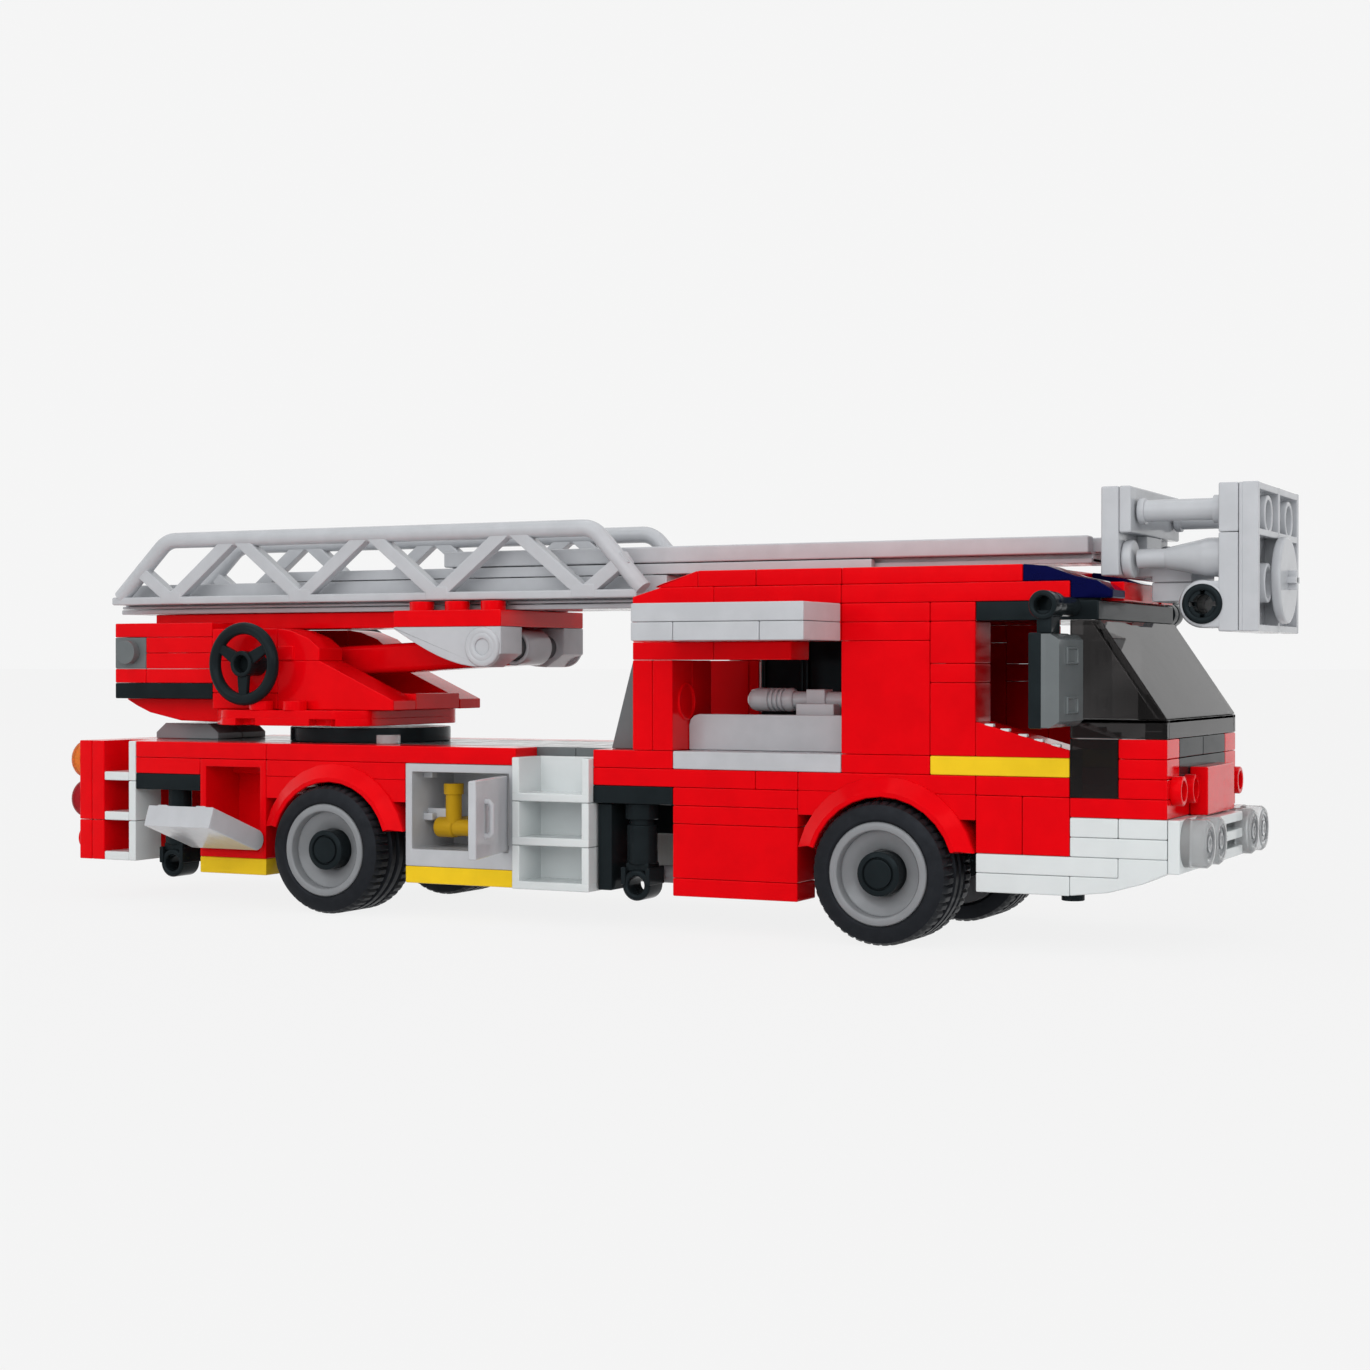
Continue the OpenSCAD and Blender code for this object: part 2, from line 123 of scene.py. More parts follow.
def soften(points, radius, steps=2):
    """Swaps each corner for a short curve: (1-s)^2 A + 2s(1-s) P + s^2 B, with A and B on the two sides of
    corner P. Corners that turn by less than about 24 degrees are left as they are."""
    p = np.asarray(points, float)
    to_a = np.roll(p, 1, 0) - p
    to_b = np.roll(p, -1, 0) - p
    len_a = np.linalg.norm(to_a, axis=1, keepdims=True)
    len_b = np.linalg.norm(to_b, axis=1, keepdims=True)
    cosine = np.clip(((to_a / len_a) * (to_b / len_b)).sum(1), -1, 1)
    turn = np.pi - np.arccos(cosine)
    reach = np.minimum(radius * np.tan(turn / 2), 0.45 * np.minimum(len_a, len_b)[:, 0])[:, None]
    a = p + to_a / len_a * reach
    b = p + to_b / len_b * reach
    s = np.linspace(0, 1, steps + 1)[None, :, None]
    arcs = (1 - s) ** 2 * a[:, None] + 2 * s * (1 - s) * p[:, None] + s ** 2 * b[:, None]
    sharp = turn > 0.42
    arcs[~sharp] = p[~sharp][:, None]
    keep = np.tile(sharp[:, None], (1, steps + 1))
    keep[:, 0] = True
    return arcs[keep]


def draw_in(points, distance):
    """Moves each point of a counter-clockwise outline inwards by a distance square to its two sides."""
    side = np.roll(points, -1, 0) - points
    side = side / np.linalg.norm(side, axis=1, keepdims=True)
    inward = np.stack([-side[:, 1], side[:, 0]], 1)
    before = np.roll(inward, 1, 0)
    share = 1 + (inward * before).sum(1, keepdims=True)
    return points + distance * (inward + before) / np.maximum(share, 0.3)


print("outline of a soft square:", len(soften(rect(0, 1, 0, 1), 0.1)), "points")

# %% [markdown]
# A ring lives in a plane, so it needs an axis to stand on. The axis letters say which way the outline is
# carried, and the outline's own direction is turned if needed, so that the skin always faces outwards.

# %% Skins over rings
AXES = {"x": (1, 2, 0, 1), "y": (0, 2, 1, -1), "z": (0, 1, 2, 1)}


def skin(rings, loop=False):
    """Joins rings of equally many points with four-sided faces. Open ends get a flat cap, and a loop joins
    its last ring to its first."""
    count, sides = len(rings), len(rings[0])
    points = np.concatenate(rings)
    i = np.arange(count if loop else count - 1)[:, None]
    j = np.arange(sides)[None, :]
    k, m = (i + 1) % count, (j + 1) % sides
    quads = np.stack(np.broadcast_arrays(i * sides + j, i * sides + m, k * sides + m, k * sides + j), -1)
    faces = quads.reshape(-1, 4).tolist()
    if not loop:
        faces.append(list(range(sides - 1, -1, -1)))
        faces.append(list(range((count - 1) * sides, count * sides)))
    return points, faces


def stack(outline, steps, axis="z", loop=False):
    """An outline carried along an axis. Each step is (how far it is drawn in, where it stands)."""
    a, b, h, hand = AXES[axis]
    heights = np.array([s[1] for s in steps], float)
    way = np.sign(heights[np.argmax(np.abs(heights - heights[0]))] - heights[0])
    p = np.asarray(outline, float)
    q = np.roll(p, -1, 0)
    turn = np.sign((p[:, 0] * q[:, 1] - q[:, 0] * p[:, 1]).sum())
    if turn < 0:
        p = p[::-1]
    rings = []
    for inset, height in steps:
        ring = np.empty((len(p), 3))
        ring[:, [a, b]] = draw_in(p, inset) if inset else p
        ring[:, h] = height
        rings.append(ring if way * hand > 0 else ring[::-1])
    return skin(rings, loop)


def rounded(h0, h1, radius=EDGE):
    """Steps from one end to the other, with a quarter-round at both: drawn in by radius (1 - sin t) at each
    angle t."""
    s = math.copysign(1, h1 - h0)
    radius = min(radius, abs(h1 - h0) * 0.45)
    angles = np.radians([0, 45, 90])
    start = [(radius * (1 - math.sin(t)), h0 + s * radius * (1 - math.cos(t))) for t in angles]
    return start + [(i, h1 - (h - h0)) for i, h in start[::-1]]


def slab(outline, h0, h1, axis="z", radius=EDGE, corner=None):
    """A plate of any outline with all its edges rounded."""
    corner = radius if corner is None else corner
    shape = soften(outline, corner) if corner else np.asarray(outline, float)
    return stack(shape, rounded(h0, h1, radius), axis)


def box(x0, x1, y0, y1, z0, z1, edge=EDGE):
    """A plain upright block between its limits."""
    return slab(rect(x0, x1, y0, y1), z0, z1, "z", edge)


def panel(y0, y1, z0, z1, x0, x1, edge=EDGE):
    """A plate that stands on edge across the engine."""
    return slab(rect(y0, y1, z0, z1), x0, x1, "x", edge)


def disc(centre, radius, h0, h1, axis="z", edge=0.15, sides=32):
    """A round boss between two heights with a rounded edge."""
    return stack(circle(radius, sides, centre), rounded(h0, h1, edge), axis)


def ring(centre, outer, inner, h0, h1, axis="z", edge=0.15, sides=32):
    """A tube: the circle goes up the outside, over the rim and back down the bore."""
    wall = outer - inner
    s = math.copysign(1, h1 - h0)
    steps = [(edge, h0), (0, h0 + s * edge), (0, h1 - s * edge), (edge, h1), (wall - edge, h1)]
    steps += [(wall, h1 - s * edge), (wall, h0 + s * edge), (wall - edge, h0)]
    return stack(circle(outer, sides, centre), steps, axis, loop=True)


def cup(outer, inner, back, front, floor, axis="y", corner=EDGE, edge=0.15):
    """An open box: the outer outline runs from its back to its front, and the inner one back to the floor."""
    a, b, h, hand = AXES[axis]
    s = math.copysign(1, front - back)
    outer, inner = soften(outer, corner), soften(inner, corner)
    rings = []
    steps = [(outer, edge, back), (outer, 0, back + s * edge), (outer, 0, front - s * edge),
             (outer, edge, front), (inner, -edge, front), (inner, 0, front - s * edge), (inner, 0, floor)]
    for shape, inset, height in steps:
        ring = np.empty((len(shape), 3))
        ring[:, [a, b]] = draw_in(shape, inset) if inset else shape
        ring[:, h] = height
        rings.append(ring if s * hand > 0 else ring[::-1])
    return skin(rings)


def block(n0, n1, y0, y1, p0, p1, edge=EDGE):
    """A brick from its ends and sides in studs and its levels in plates, less half a seam all round."""
    outline = rect(fx(n0) + SEAM, fx(n1) - SEAM, y0 * STUD + SEAM, y1 * STUD - SEAM)
    return slab(outline, pz(p0) + SEAM * 0.6, pz(p1) - SEAM * 0.6, "z", edge)


def row(cuts, y0, y1, p0, p1):
    """A course of bricks that meet at the given counts of studs."""
    return [block(a, b, y0, y1, p0, p1) for a, b in zip(cuts, cuts[1:])]


def wall(n0, n1, y0, y1, levels):
    """Bricks piled up between two counts of studs, with joints at the given levels."""
    return [block(n0, n1, y0, y1, a, b) for a, b in zip(levels, levels[1:])]


def profile(y0, y1, points, edge=EDGE):
    """An outline in studs and plates seen from the side, carried across a width in studs."""
    outline = np.array([[fx(n), pz(p)] for n, p in points])
    return slab(outline, y0 * STUD + SEAM, y1 * STUD - SEAM, "y", edge)


def stud(centre, h, axis="z", way=1, hollow=False):
    """The round boss on top of a brick: 4.8 mm across and 1.76 mm tall, solid or with an open middle."""
    top = h + way * 0.55 * PLATE
    if hollow:
        return ring(centre, STUD_R, BAR_R, h - way * 0.05, top, axis, 0.12)
    return disc(centre, STUD_R, h - way * 0.05, top, axis, 0.12)


def sweep(path, section, normal):
    """A section carried along a path in a plane: point + a N + b (T x N), with N the plane's normal and T the
    path's direction, stretched at each bend so that the sides stay straight."""
    path = np.asarray(path, float)
    n = np.asarray(normal, float)
    step = path[1:] - path[:-1]
    step = step / np.linalg.norm(step, axis=1, keepdims=True)
    before, after = np.vstack([step[:1], step]), np.vstack([step, step[-1:]])
    t = before + after
    t = t / np.linalg.norm(t, axis=1, keepdims=True)
    side = np.cross(t, n) / (t * before).sum(1, keepdims=True)
    section = np.asarray(section, float)
    rings = path[:, None] + section[None, :, :1] * n + section[None, :, 1:] * side[:, None]
    return skin(list(rings))


def flip(shape):
    """The same shape on the other side of the centre plane, with its faces turned back to point outwards."""
    points, faces = shape
    return points * [1, -1, 1], [f[::-1] for f in faces]


def both(shapes):
    """Shapes made on the right side, and again on the left."""
    return shapes + [flip(shape) for shape in shapes]


print("a brick has", len(block(1, 0, 0, 1, 0, 1)[0]), "points")

# %% [markdown]
# ## Finishes
# The bricks are glossy moulded plastic: one colour right through, a skin that is very slightly uneven, and
# fine handling marks that only show in the gloss. A picture could hold such marks, but noise worked out
# from the place on the piece needs no picture and never repeats. All the plastics use it, so it is a node
# group made once.

# %% The moulded skin as a node group
def node(tree, kind, **sockets):
    """Adds a node and sets its sockets by name."""
    made = tree.nodes.new(kind)
    for key, value in sockets.items():
        made.inputs[key.replace("_", " ")].default_value = value
    return made


def noise(tree, place, scale, detail=2.0, stretch=(1, 1, 1)):
    """Noise of a given scale on the piece's own coordinates, stretched along an axis for scratches."""
    move = node(tree, "ShaderNodeMapping", Scale=stretch)
    tree.links.new(place, move.inputs["Vector"])
    made = node(tree, "ShaderNodeTexNoise", Scale=scale, Detail=detail)
    tree.links.new(move.outputs[0], made.inputs["Vector"])
    return made.outputs[0]


def remap(tree, value, low, high, to_low, to_high):
    """Stretches a value from one range to another and keeps it inside."""
    made = tree.nodes.new("ShaderNodeMapRange")
    made.inputs["From Min"].default_value = low
    made.inputs["From Max"].default_value = high
    tree.links.new(value, made.inputs["Value"])
    for name, end in (("To Min", to_low), ("To Max", to_high)):
        if isinstance(end, (int, float)):
            made.inputs[name].default_value = end
        else:
            tree.links.new(end, made.inputs[name])
    return made.outputs[0]


skin_group = bpy.data.node_groups.new("moulded_skin", "ShaderNodeTree")
for name, value in (("Mottle Scale", 220.0), ("Rough Low", 0.1), ("Rough High", 0.3), ("Relief", 0.1)):
    socket = skin_group.interface.new_socket(name, in_out="INPUT", socket_type="NodeSocketFloat")
    socket.default_value = value
for name, kind in (("Mask", "Float"), ("Roughness", "Float"), ("Normal", "Vector")):
    skin_group.interface.new_socket(name, in_out="OUTPUT", socket_type="NodeSocket" + kind)
inside = skin_group.nodes.new("NodeGroupInput")
outside = skin_group.nodes.new("NodeGroupOutput")
where = skin_group.nodes.new("ShaderNodeTexCoord").outputs["Object"]
# The mottle mask gives the plastics their own uneven tone; on the smoke glass the same mask, made large and
# deep, paints reflection.
mottle = skin_group.nodes.new("ShaderNodeTexNoise")
mottle.inputs["Detail"].default_value = 3.0
skin_group.links.new(where, mottle.inputs["Vector"])
skin_group.links.new(inside.outputs["Mottle Scale"], mottle.inputs["Scale"])
skin_group.links.new(remap(skin_group, mottle.outputs[0], 0.35, 0.65, 0.0, 1.0), outside.inputs["Mask"])
marks = skin_group.nodes.new("ShaderNodeMath")
marks.operation = "MULTIPLY"
skin_group.links.new(noise(skin_group, where, 900.0, 4.0, (1.0, 0.12, 1.0)), marks.inputs[0])
skin_group.links.new(noise(skin_group, where, 160.0, 3.0), marks.inputs[1])
rough = remap(skin_group, marks.outputs[0], 0.15, 0.4, inside.outputs["Rough Low"],
              inside.outputs["Rough High"])
skin_group.links.new(rough, outside.inputs["Roughness"])
relief = node(skin_group, "ShaderNodeBump", Distance=0.00004)
skin_group.links.new(inside.outputs["Relief"], relief.inputs["Strength"])
skin_group.links.new(noise(skin_group, where, 420.0, 2.0), relief.inputs["Height"])
skin_group.links.new(relief.outputs[0], outside.inputs["Normal"])
print("moulded skin group:", len(skin_group.nodes), "nodes")

# %% [markdown]
# Each plastic is its own material with the shader inside it, and takes only masks and values from the
# group. The second colour is a shade of the first, so the mottle stays as quiet as on the real bricks.
# On the smoke glass the mottle is large and deep instead, and is painted reflection: lighter and darker
# blotches that stand in for the reflections on the windscreen.


def material(name, colour, shade=0.93, gloss=(0.08, 0.24), relief=0.12, scale=220.0, specular=0.3, clear=0.0):
    """A moulded plastic: two near colours mixed by the mottle, with gloss and relief from the skin group. Its
    reflections take on some of its own colour, so that deep colours stay deep."""
    made = bpy.data.materials.new(name)
    made.use_nodes = True
    tree = made.node_tree
    shader = tree.nodes["Principled BSDF"]
    group = tree.nodes.new("ShaderNodeGroup")
    group.node_tree = skin_group
    values = {"Mottle Scale": scale, "Rough Low": gloss[0], "Rough High": gloss[1], "Relief": relief}
    for key, value in values.items():
        group.inputs[key].default_value = value
    mix = tree.nodes.new("ShaderNodeMix")
    mix.data_type = "RGBA"
    mix.inputs["A"].default_value = (*[c * shade for c in colour], 1)
    mix.inputs["B"].default_value = (*colour, 1)
    tree.links.new(group.outputs["Mask"], mix.inputs["Factor"])
    tree.links.new(mix.outputs["Result"], shader.inputs["Base Color"])
    tree.links.new(group.outputs["Roughness"], shader.inputs["Roughness"])
    tree.links.new(group.outputs["Normal"], shader.inputs["Normal"])
    shader.inputs["Specular IOR Level"].default_value = specular
    peak = max(colour)
    shader.inputs["Specular Tint"].default_value = (*[0.06 + 0.94 * c / peak for c in colour], 1)
    if clear:
        shader.inputs["Transmission Weight"].default_value = clear
        shader.inputs["IOR"].default_value = 1.22
    made.diffuse_color = (*colour, 1)
    return made


RED = material("red_plastic", (0.77, 0.0015, 0.005))
LIGHT = material("light_grey_plastic", (0.50, 0.515, 0.54))
DARK = material("dark_grey_plastic", (0.14, 0.155, 0.16), specular=0.2)
BLACK = material("black_plastic", (0.012, 0.016, 0.018), shade=0.8, specular=0.06)
WHITE = material("white_plastic", (0.69, 0.73, 0.735), shade=0.97, specular=0.2)
YELLOW = material("yellow_plastic", (0.90, 0.60, 0.02))
AMBER = material("clear_orange", (0.92, 0.26, 0.05), shade=0.85, gloss=(0.02, 0.08), clear=0.5)
RUBY = material("clear_red", (0.50, 0.02, 0.03), shade=0.85, gloss=(0.02, 0.08), clear=0.5)
BLUE = material("clear_blue", (0.003, 0.004, 0.05), shade=0.8, gloss=(0.02, 0.07), clear=0.3)
# The smoke glass carries painted reflection: its mottle is deep (shade 0.12) and large (scale 28), so lighter
# and darker blotches stand in for the reflections on the windscreen.
SMOKE_WITH_PAINTED_REFLECTION = material("smoke", (0.10, 0.095, 0.095), shade=0.12, gloss=(0.02, 0.06), scale=28.0, clear=0.93)
CLEAR = material("clear", (0.88, 0.90, 0.91), shade=0.96, gloss=(0.02, 0.06), clear=0.72)
RUBBER = material("tyre", (0.010, 0.011, 0.013), shade=0.7, gloss=(0.4, 0.6), relief=0.5, scale=500.0,
                  specular=0.15)
RIM = material("mid_grey_plastic", (0.24, 0.25, 0.262), specular=0.2)
OCHRE = material("tap_yellow", (0.50, 0.29, 0.012))

# %% [markdown]
# A piece is a list of such skins in one mesh. The flat faces must stay flat in the shading while the tiny
# edge rounds blend, so the normals are weighted by face size.

# %% Making a piece
made_pieces = []


def piece(name, shapes, finish, *replaced, body="chassis", sharp=50):
    """Joins shapes into one mesh in metres, gives it a finish, and lets it ride on a body of the frame. Edges
    that turn by more than the sharp angle in degrees stay hard."""
    counts = np.cumsum([0] + [len(points) for points, _ in shapes])
    points = np.concatenate([points for points, _ in shapes]) * MM
    faces = [[v + start for v in f] for (_, fs), start in zip(shapes, counts.tolist()) for f in fs]
    mesh = bpy.data.meshes.new(name)
    mesh.from_pydata(points.tolist(), [], faces)
    mesh.shade_smooth()
    mesh.set_sharp_from_angle(angle=math.radians(sharp))
    mesh.materials.append(finish)
    made = bpy.data.objects.new(name, mesh)
    bpy.context.scene.collection.objects.link(made)
    weigh = made.modifiers.new("weigh normals", "WEIGHTED_NORMAL")
    weigh.keep_sharp = True
    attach(made, body)
    if replaced:
        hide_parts(*replaced)
    made_pieces.append(made)
    print(f"{name}: {len(shapes)} skins, {len(faces)} faces, on {body}")


# %% [markdown]
# ## Deck and rear body
# The deck is grey plates between red edge rows. A seam shows wherever two bricks meet, so the rows are cut
# where the real bricks end.

# %% Deck
piece("deck_plates", row([26, 22, 18, 14, 13, 12], -2, 2, 0, 1), DARK, "deck")
wedge = [(27, 1), (27, 1.4), (26.7, 2), (25.3, 2), (25, 1.4), (25, 1)]
piece("deck_wedges", [profile(y, y + 1, wedge) for y in (-1, 0)], RIM, "deck")

# %% Rear body
right = row([26, 22, 15], -3, -2, 0, 1) + row([26, 24], -3, -2, -1, 0)
mouth = rect(fx(24) + SEAM, fx(22) - SEAM, pz(-6), pz(0) - SEAM)
right.append(cup(mouth, draw_in(mouth, WALL), -1.5 * STUD, -side_y, -1.5 * STUD - WALL))
shapes = both(right) + row([26, 22, 18], -1.95, 1.95, -1, 0) + row([18, 15], -1, 1, -1, 0)
shapes += row([15, 13], -1.95, 1.95, -1, 0) + row([26, 20, 13], -1, 1, -2, -1)
piece("rear_body_bricks", shapes, RED, "rear_body")

# %% [markdown]
# The tail is built sideways: two layers of plates stand on edge behind a core, with their studs pointing
# back. The lamps are small clear domes pressed onto those studs.

# %% Tail
tail_x = fx(27)
stud_x = tail_x - 2 * PLATE
shapes = []
for layer in (0, 1):
    x1 = tail_x - layer * PLATE - SEAM
    for low, high in ((pz(-6.5), pz(-4)), (pz(-4), pz(1))):
        shapes.append(panel(-side_y, side_y, low + SEAM, high - SEAM, x1 - PLATE + 2 * SEAM, x1))
for y in (-1.5, -0.5, 0.5, 1.5):
    for z in (pz(-0.25), pz(-0.25) - STUD, pz(-5.25)):
        shapes.append(stud((y * STUD, z), stud_x, "x", -1))
shapes += [stud((y * STUD, pz(-5.25)), stud_x, "x", -1) for y in (-2.5, 2.5)]
shapes += wall(27, 26, -2, 2, [-6.5, -4, -1.5, 1])
piece("tail_plates", shapes, RED, "tail_panel")


def dome(z):
    """A lamp on its side: a straight foot, then a quarter-round whose radius is R cos t at height H sin t."""
    radius, foot, bulge = 0.49 * STUD, stud_x - 0.02, 2.6
    t = np.linspace(0, np.pi / 2 * 0.96, 9)
    steps = [(0, foot), (0, foot - 1.3)]
    steps += [(radius * (1 - math.cos(a)), foot - 1.3 - bulge * math.sin(a)) for a in t[1:]]
    return stack(circle(radius, 32, (-2.5 * STUD, z)), steps, "x")


piece("tail_lamps_amber", both([dome(pz(-0.25))]), AMBER, "tail_lights")
piece("tail_lamps_red", both([dome(pz(-0.25) - STUD)]), RUBY, "tail_lights")

# %% Rear rack
x0, x1, y1 = tail_x + SEAM, tail_x + STUD, -2 * STUD - SEAM
right = []
for i in range(3):
    z = pz(-6.5) + i * STUD + SEAM
    right.append(box(x0, x1 - 1.8, -side_y, y1, z, z - SEAM + 1.75))
    right.append(box(x1 - 1.8, x1 - SEAM, -side_y, y1, z, z + STUD - 2 * SEAM))
piece("rack_shelves", both(right), WHITE, "rear_rack")

# %% [markdown]
# ## Cupboards and steps
# A cupboard is a shell with one open side, so its outline goes in by the wall and back down to the floor.
# The tap inside is three short pipes, and the steps are open boxes piled up.

# %% Yellow strips, cupboards and taps
right = row([24, 22], -3, -2, -7, -6) + row([18, 15], -3, -2, -7, -6) + row([5, 2], -3, -2, 0, 1)
piece("yellow_strips", both(right), YELLOW, "yellow_plates")

x0, x1 = fx(18) + SEAM, fx(15) - SEAM
inner = rect(x0 + WALL, x1 - WALL, pz(-5), pz(-0.5))
right = [cup(rect(x0, x1, pz(-6), pz(0) - SEAM), inner, -STUD, -side_y, -STUD - WALL)]
right += [box(x0 + 1.3, x0 + 3.4, -side_y + 4, -side_y + 6, z, z + 1.4) for z in (pz(-0.9), pz(-3.4))]
right.append(box(x0 + 1.3, x0 + 7.0, -side_y + 5.5, -side_y + 8, pz(-3.3), pz(-2.7)))
piece("cupboard_shells", both(right), LIGHT, "cupboards")

x, y, z = fx(17.1), -2.3 * STUD, pz(-3.8)
right = [disc((x, y), 1.55, z - 0.2, z + 7.0), disc((x, y), 1.9, z + 6.2, z + 8.3),
         disc((y, z), 1.6, x, fx(16), "x"), disc((y, z), 1.95, fx(17.55), x + 0.6, "x", 0.6),
         disc((x, z), 1.9, -STUD - WALL, y, "y")]
piece("water_taps", both(right), OCHRE, "taps")

# %% Steps
x0, x1 = fx(15) + SEAM, fx(13) - SEAM
y0, y1 = -side_y - 1.5, -2 * STUD - SEAM
right = []
for i in range(3):
    z0 = pz(-7) + i * STUD + SEAM
    right.append(box(x0, x1, y0, y1, z0, z0 + WALL))
    for a, b, c in ((x0, x1, y1 - WALL), (x0, x0 + WALL, y0), (x1 - WALL, x1, y0)):
        right.append(box(a, b, c, y1, z0 + 1.3, z0 + STUD - 2 * SEAM))
piece("step_boxes", both(right), WHITE, "steps")

# %% [markdown]
# ## Under the deck
# The stabiliser posts end in clips, the frame is a long black plate with axle holders, and the mudguards
# are arches whose outer face slopes back towards the body in flat facets.

# %% Stabilisers and frame
def clip(n):
    """A clip on a post: two jaws round an open bore, below a waist and an eight-sided collar."""
    x, y, z = fx(n), -2.5 * STUD, pz(-6.55)
    return [disc((x, y), 2.3, z + 2.2, pz(-2), "z", 0.1, 24),
            slab(circle(2.9, 8, (x, y)), z + 3.6, pz(-3.2), "z", 0.3, 0),
            box(x - 2.3, x + 2.3, y - 2.2, y + 2.2, z + 2.4, z + 4.0, 0.3),
            ring((x, z), 2.8, BAR_R, y - 2.7, y + 2.7, "y", 0.3),
            box(x - 2.9, x - 2.0, y - 3, y + 3, z, z + 3.2, 0.2),
            box(x + 2.0, x + 2.9, y - 3, y + 3, z, z + 3.2, 0.2)]


right = row([13, 11], -3, -2, -2, -1) + row([26, 24], -3, -2, -2, -1) + clip(12) + clip(25)
right.append(slab(circle(0.4 * STUD, 8, (fx(12), -2.5 * STUD)), pz(-2.9), pz(-2), "z", 0.2, 0))
right.append(box(fx(12.95), fx(12.6), -2.85 * STUD, -2 * STUD, pz(-6.9), pz(-2.05)))
piece("stabiliser_posts", both(right), BLACK, "stabilisers")
right = [disc((-1.8 * STUD, pz(-6.1)), BAR_R, fx(13), fx(11.05), "x", 0.2)]
piece("stabiliser_bars", both(right), RIM)

centres = [sum(limits(f"tyre_{end}_left")) / 2 for end in ("front", "rear")]
axle_z = centres[0][2]
axle_n = [(front_x - centre[0]) / STUD for centre in centres]
shapes = row([25, 19, 13, 7, 2], -1, 1, -4, -2) + row([4.4, 1.2], -1.5, 1.5, -5.8, -4)
for n in axle_n:
    shapes.append(box(fx(n) - 4, fx(n) + 4, -12, 12, axle_z - BAR_R * 2, pz(-4)))
    shapes.append(disc((fx(n), axle_z), BAR_R, -side_y - 2, side_y + 2, "y", 0.1))
piece("chassis_plates", shapes, BLACK, "chassis_frame")


# %% Mudguards
def arch(n):
    """An arch about an axle: at each angle the section runs from the body's edge out and down a slope to a
    flat lip, and back inside. The angles are few, so the faces stay flat as moulded."""
    inner, outer, count = 12.8, 16.3, 13
    low, low_in = (math.asin((pz(-4) - axle_z) / radius) for radius in (outer, inner))
    section = ((outer, 8.1, low), (outer, 0, low), (outer - 0.1, -0.4, low), (13.9, -1.85, low_in),
               (13.7, -2.0, low_in), (inner + 0.15, -2.0, low_in), (inner, -1.8, low_in),
               (inner, 8.1, low_in))
    rings = []
    for radius, out, start in section:
        t = np.linspace(start, np.pi - start, count)
        x, z = fx(n) + radius * np.cos(t), axle_z + radius * np.sin(t)
        rings.append(np.stack([x, np.full(count, out - side_y), z], 1))
    return skin(list(np.transpose(rings, (1, 0, 2))))


right = []
for n in axle_n:
    right += [arch(n), block(n + 2, n - 2, -3, -2, -1, 0)]
    for way in (-1, 1):
        corner = [(15.96, -1), (15.96, -2.3), (12.6, -2.3), (10.6, -1.6), (7.8, -1)]
        corner = [(fx(n) + way * a, pz(p)) for a, p in corner]
        right.append(slab(corner, -side_y + 0.05, -side_y + 3.0, "y", 0.1))
piece("mudguard_arches", both(right), RED, "mudguards", sharp=8)

# %% [markdown]
# ## Equipment bay and cab
# These are plain bricks in courses. The joints are laid out brick by brick, because the lines they leave
# are most of what the eye sees on a flat red side.

# %% Bay frame
right = wall(11, 8, -3, -2, [-7, -6, -3, -2, -1])
right += row([13, 9, 8], -3, -2, -1, 0) + row([13, 11], -3, -2, 0, 1)
right += row([12, 11.5, 11], -3, -2, 1, 6) + row([12, 11], -2, -1, 1, 6)
right += row([12, 10, 8.15], -3, -2, 6, 7) + row([12, 7], -3, -2, 7, 9)
right.append(ring((-2.3 * STUD, pz(3.7)), 3.4, 2.9, fx(11) - 0.4, fx(11) + 0.3, "x", 0.1))
piece("bay_bricks", both(right) + row([12, 8], -1.95, 1.95, -1, 0), RED, "bay_frame")

# %% Cab body
right = wall(7, 5, -3, -2, [0, 1, 7, 8, 9]) + wall(5, 4, -3, -2, [1, 4.8, 5.8, 8, 9])
right += row([4, 2], -3, -2, -1, 0) + row([4, 3, 2], -3, -2, -4, -1)
right.append(profile(-3, -2, [(4, 1), (4, 2.8), (2, 1.4), (2, 1)]))
right += wall(1, 0, -3, -2, [-1, 0, 1, 2])
right += [stud((y * STUD, pz(-0.6)), fx(0), "x", 1, True) for y in (-1.5, -2.5)]
shapes = both(right) + row([8, 4], -1.95, 1.95, -1, 0) + wall(7, 6, -2, 2, [0, 3, 6, 9])
shapes += row([4, 2], -2, 2, -2, -1) + row([2, 0], -3, 3, -2, -1) + row([1, 0], -2, 2, -1, 0)
shapes.append(panel(-1.2 * STUD, 1.2 * STUD, pz(-2) + SEAM, pz(0.5), fx(0) + SEAM, fx(-0.38), 0.3))
piece("cab_bricks", shapes, RED, "cab_body")

right = []
for share in (0.14, 0.31, 0.5, 0.67, 0.85):
    x, z = fx(4 - 2 * share), pz(2.8 - 1.4 * share)
    right.append(box(x - 0.8, x + 0.8, -side_y + 0.1, -side_y + 1.3, z - 0.3, z + 0.3, 0.2))
piece("sill_ticks", both(right), WHITE)

# %% Bay trim and slope panels
right = row([11, 7], -3, -2, 0, 1) + row([11, 7], -5, -3, 8, 9) + row([11, 10, 8, 7], -5, -3, 7, 8)
radius = 2.0
arc = [(fx(11) + radius - radius * math.cos(t), pz(3) - radius + radius * math.sin(t))
       for t in np.linspace(np.pi / 2, 0, 4)]
right.append(slab([(fx(7) - SEAM, pz(3)), *arc, (fx(11) + SEAM, pz(1)), (fx(7) - SEAM, pz(1))],
                  -2 * STUD, -2 * STUD - 1.5, "y"))
piece("bay_trim_plates", both(right) + row([11, 9, 7], -2, 2, 0, 1), LIGHT, "bay_trim")
right = [profile(-2.4, -2, [(12, 1), (12, 6), (12.3, 6), (12.85, 1)])]
piece("slope_sides", both(right), DARK, "slope_panels")

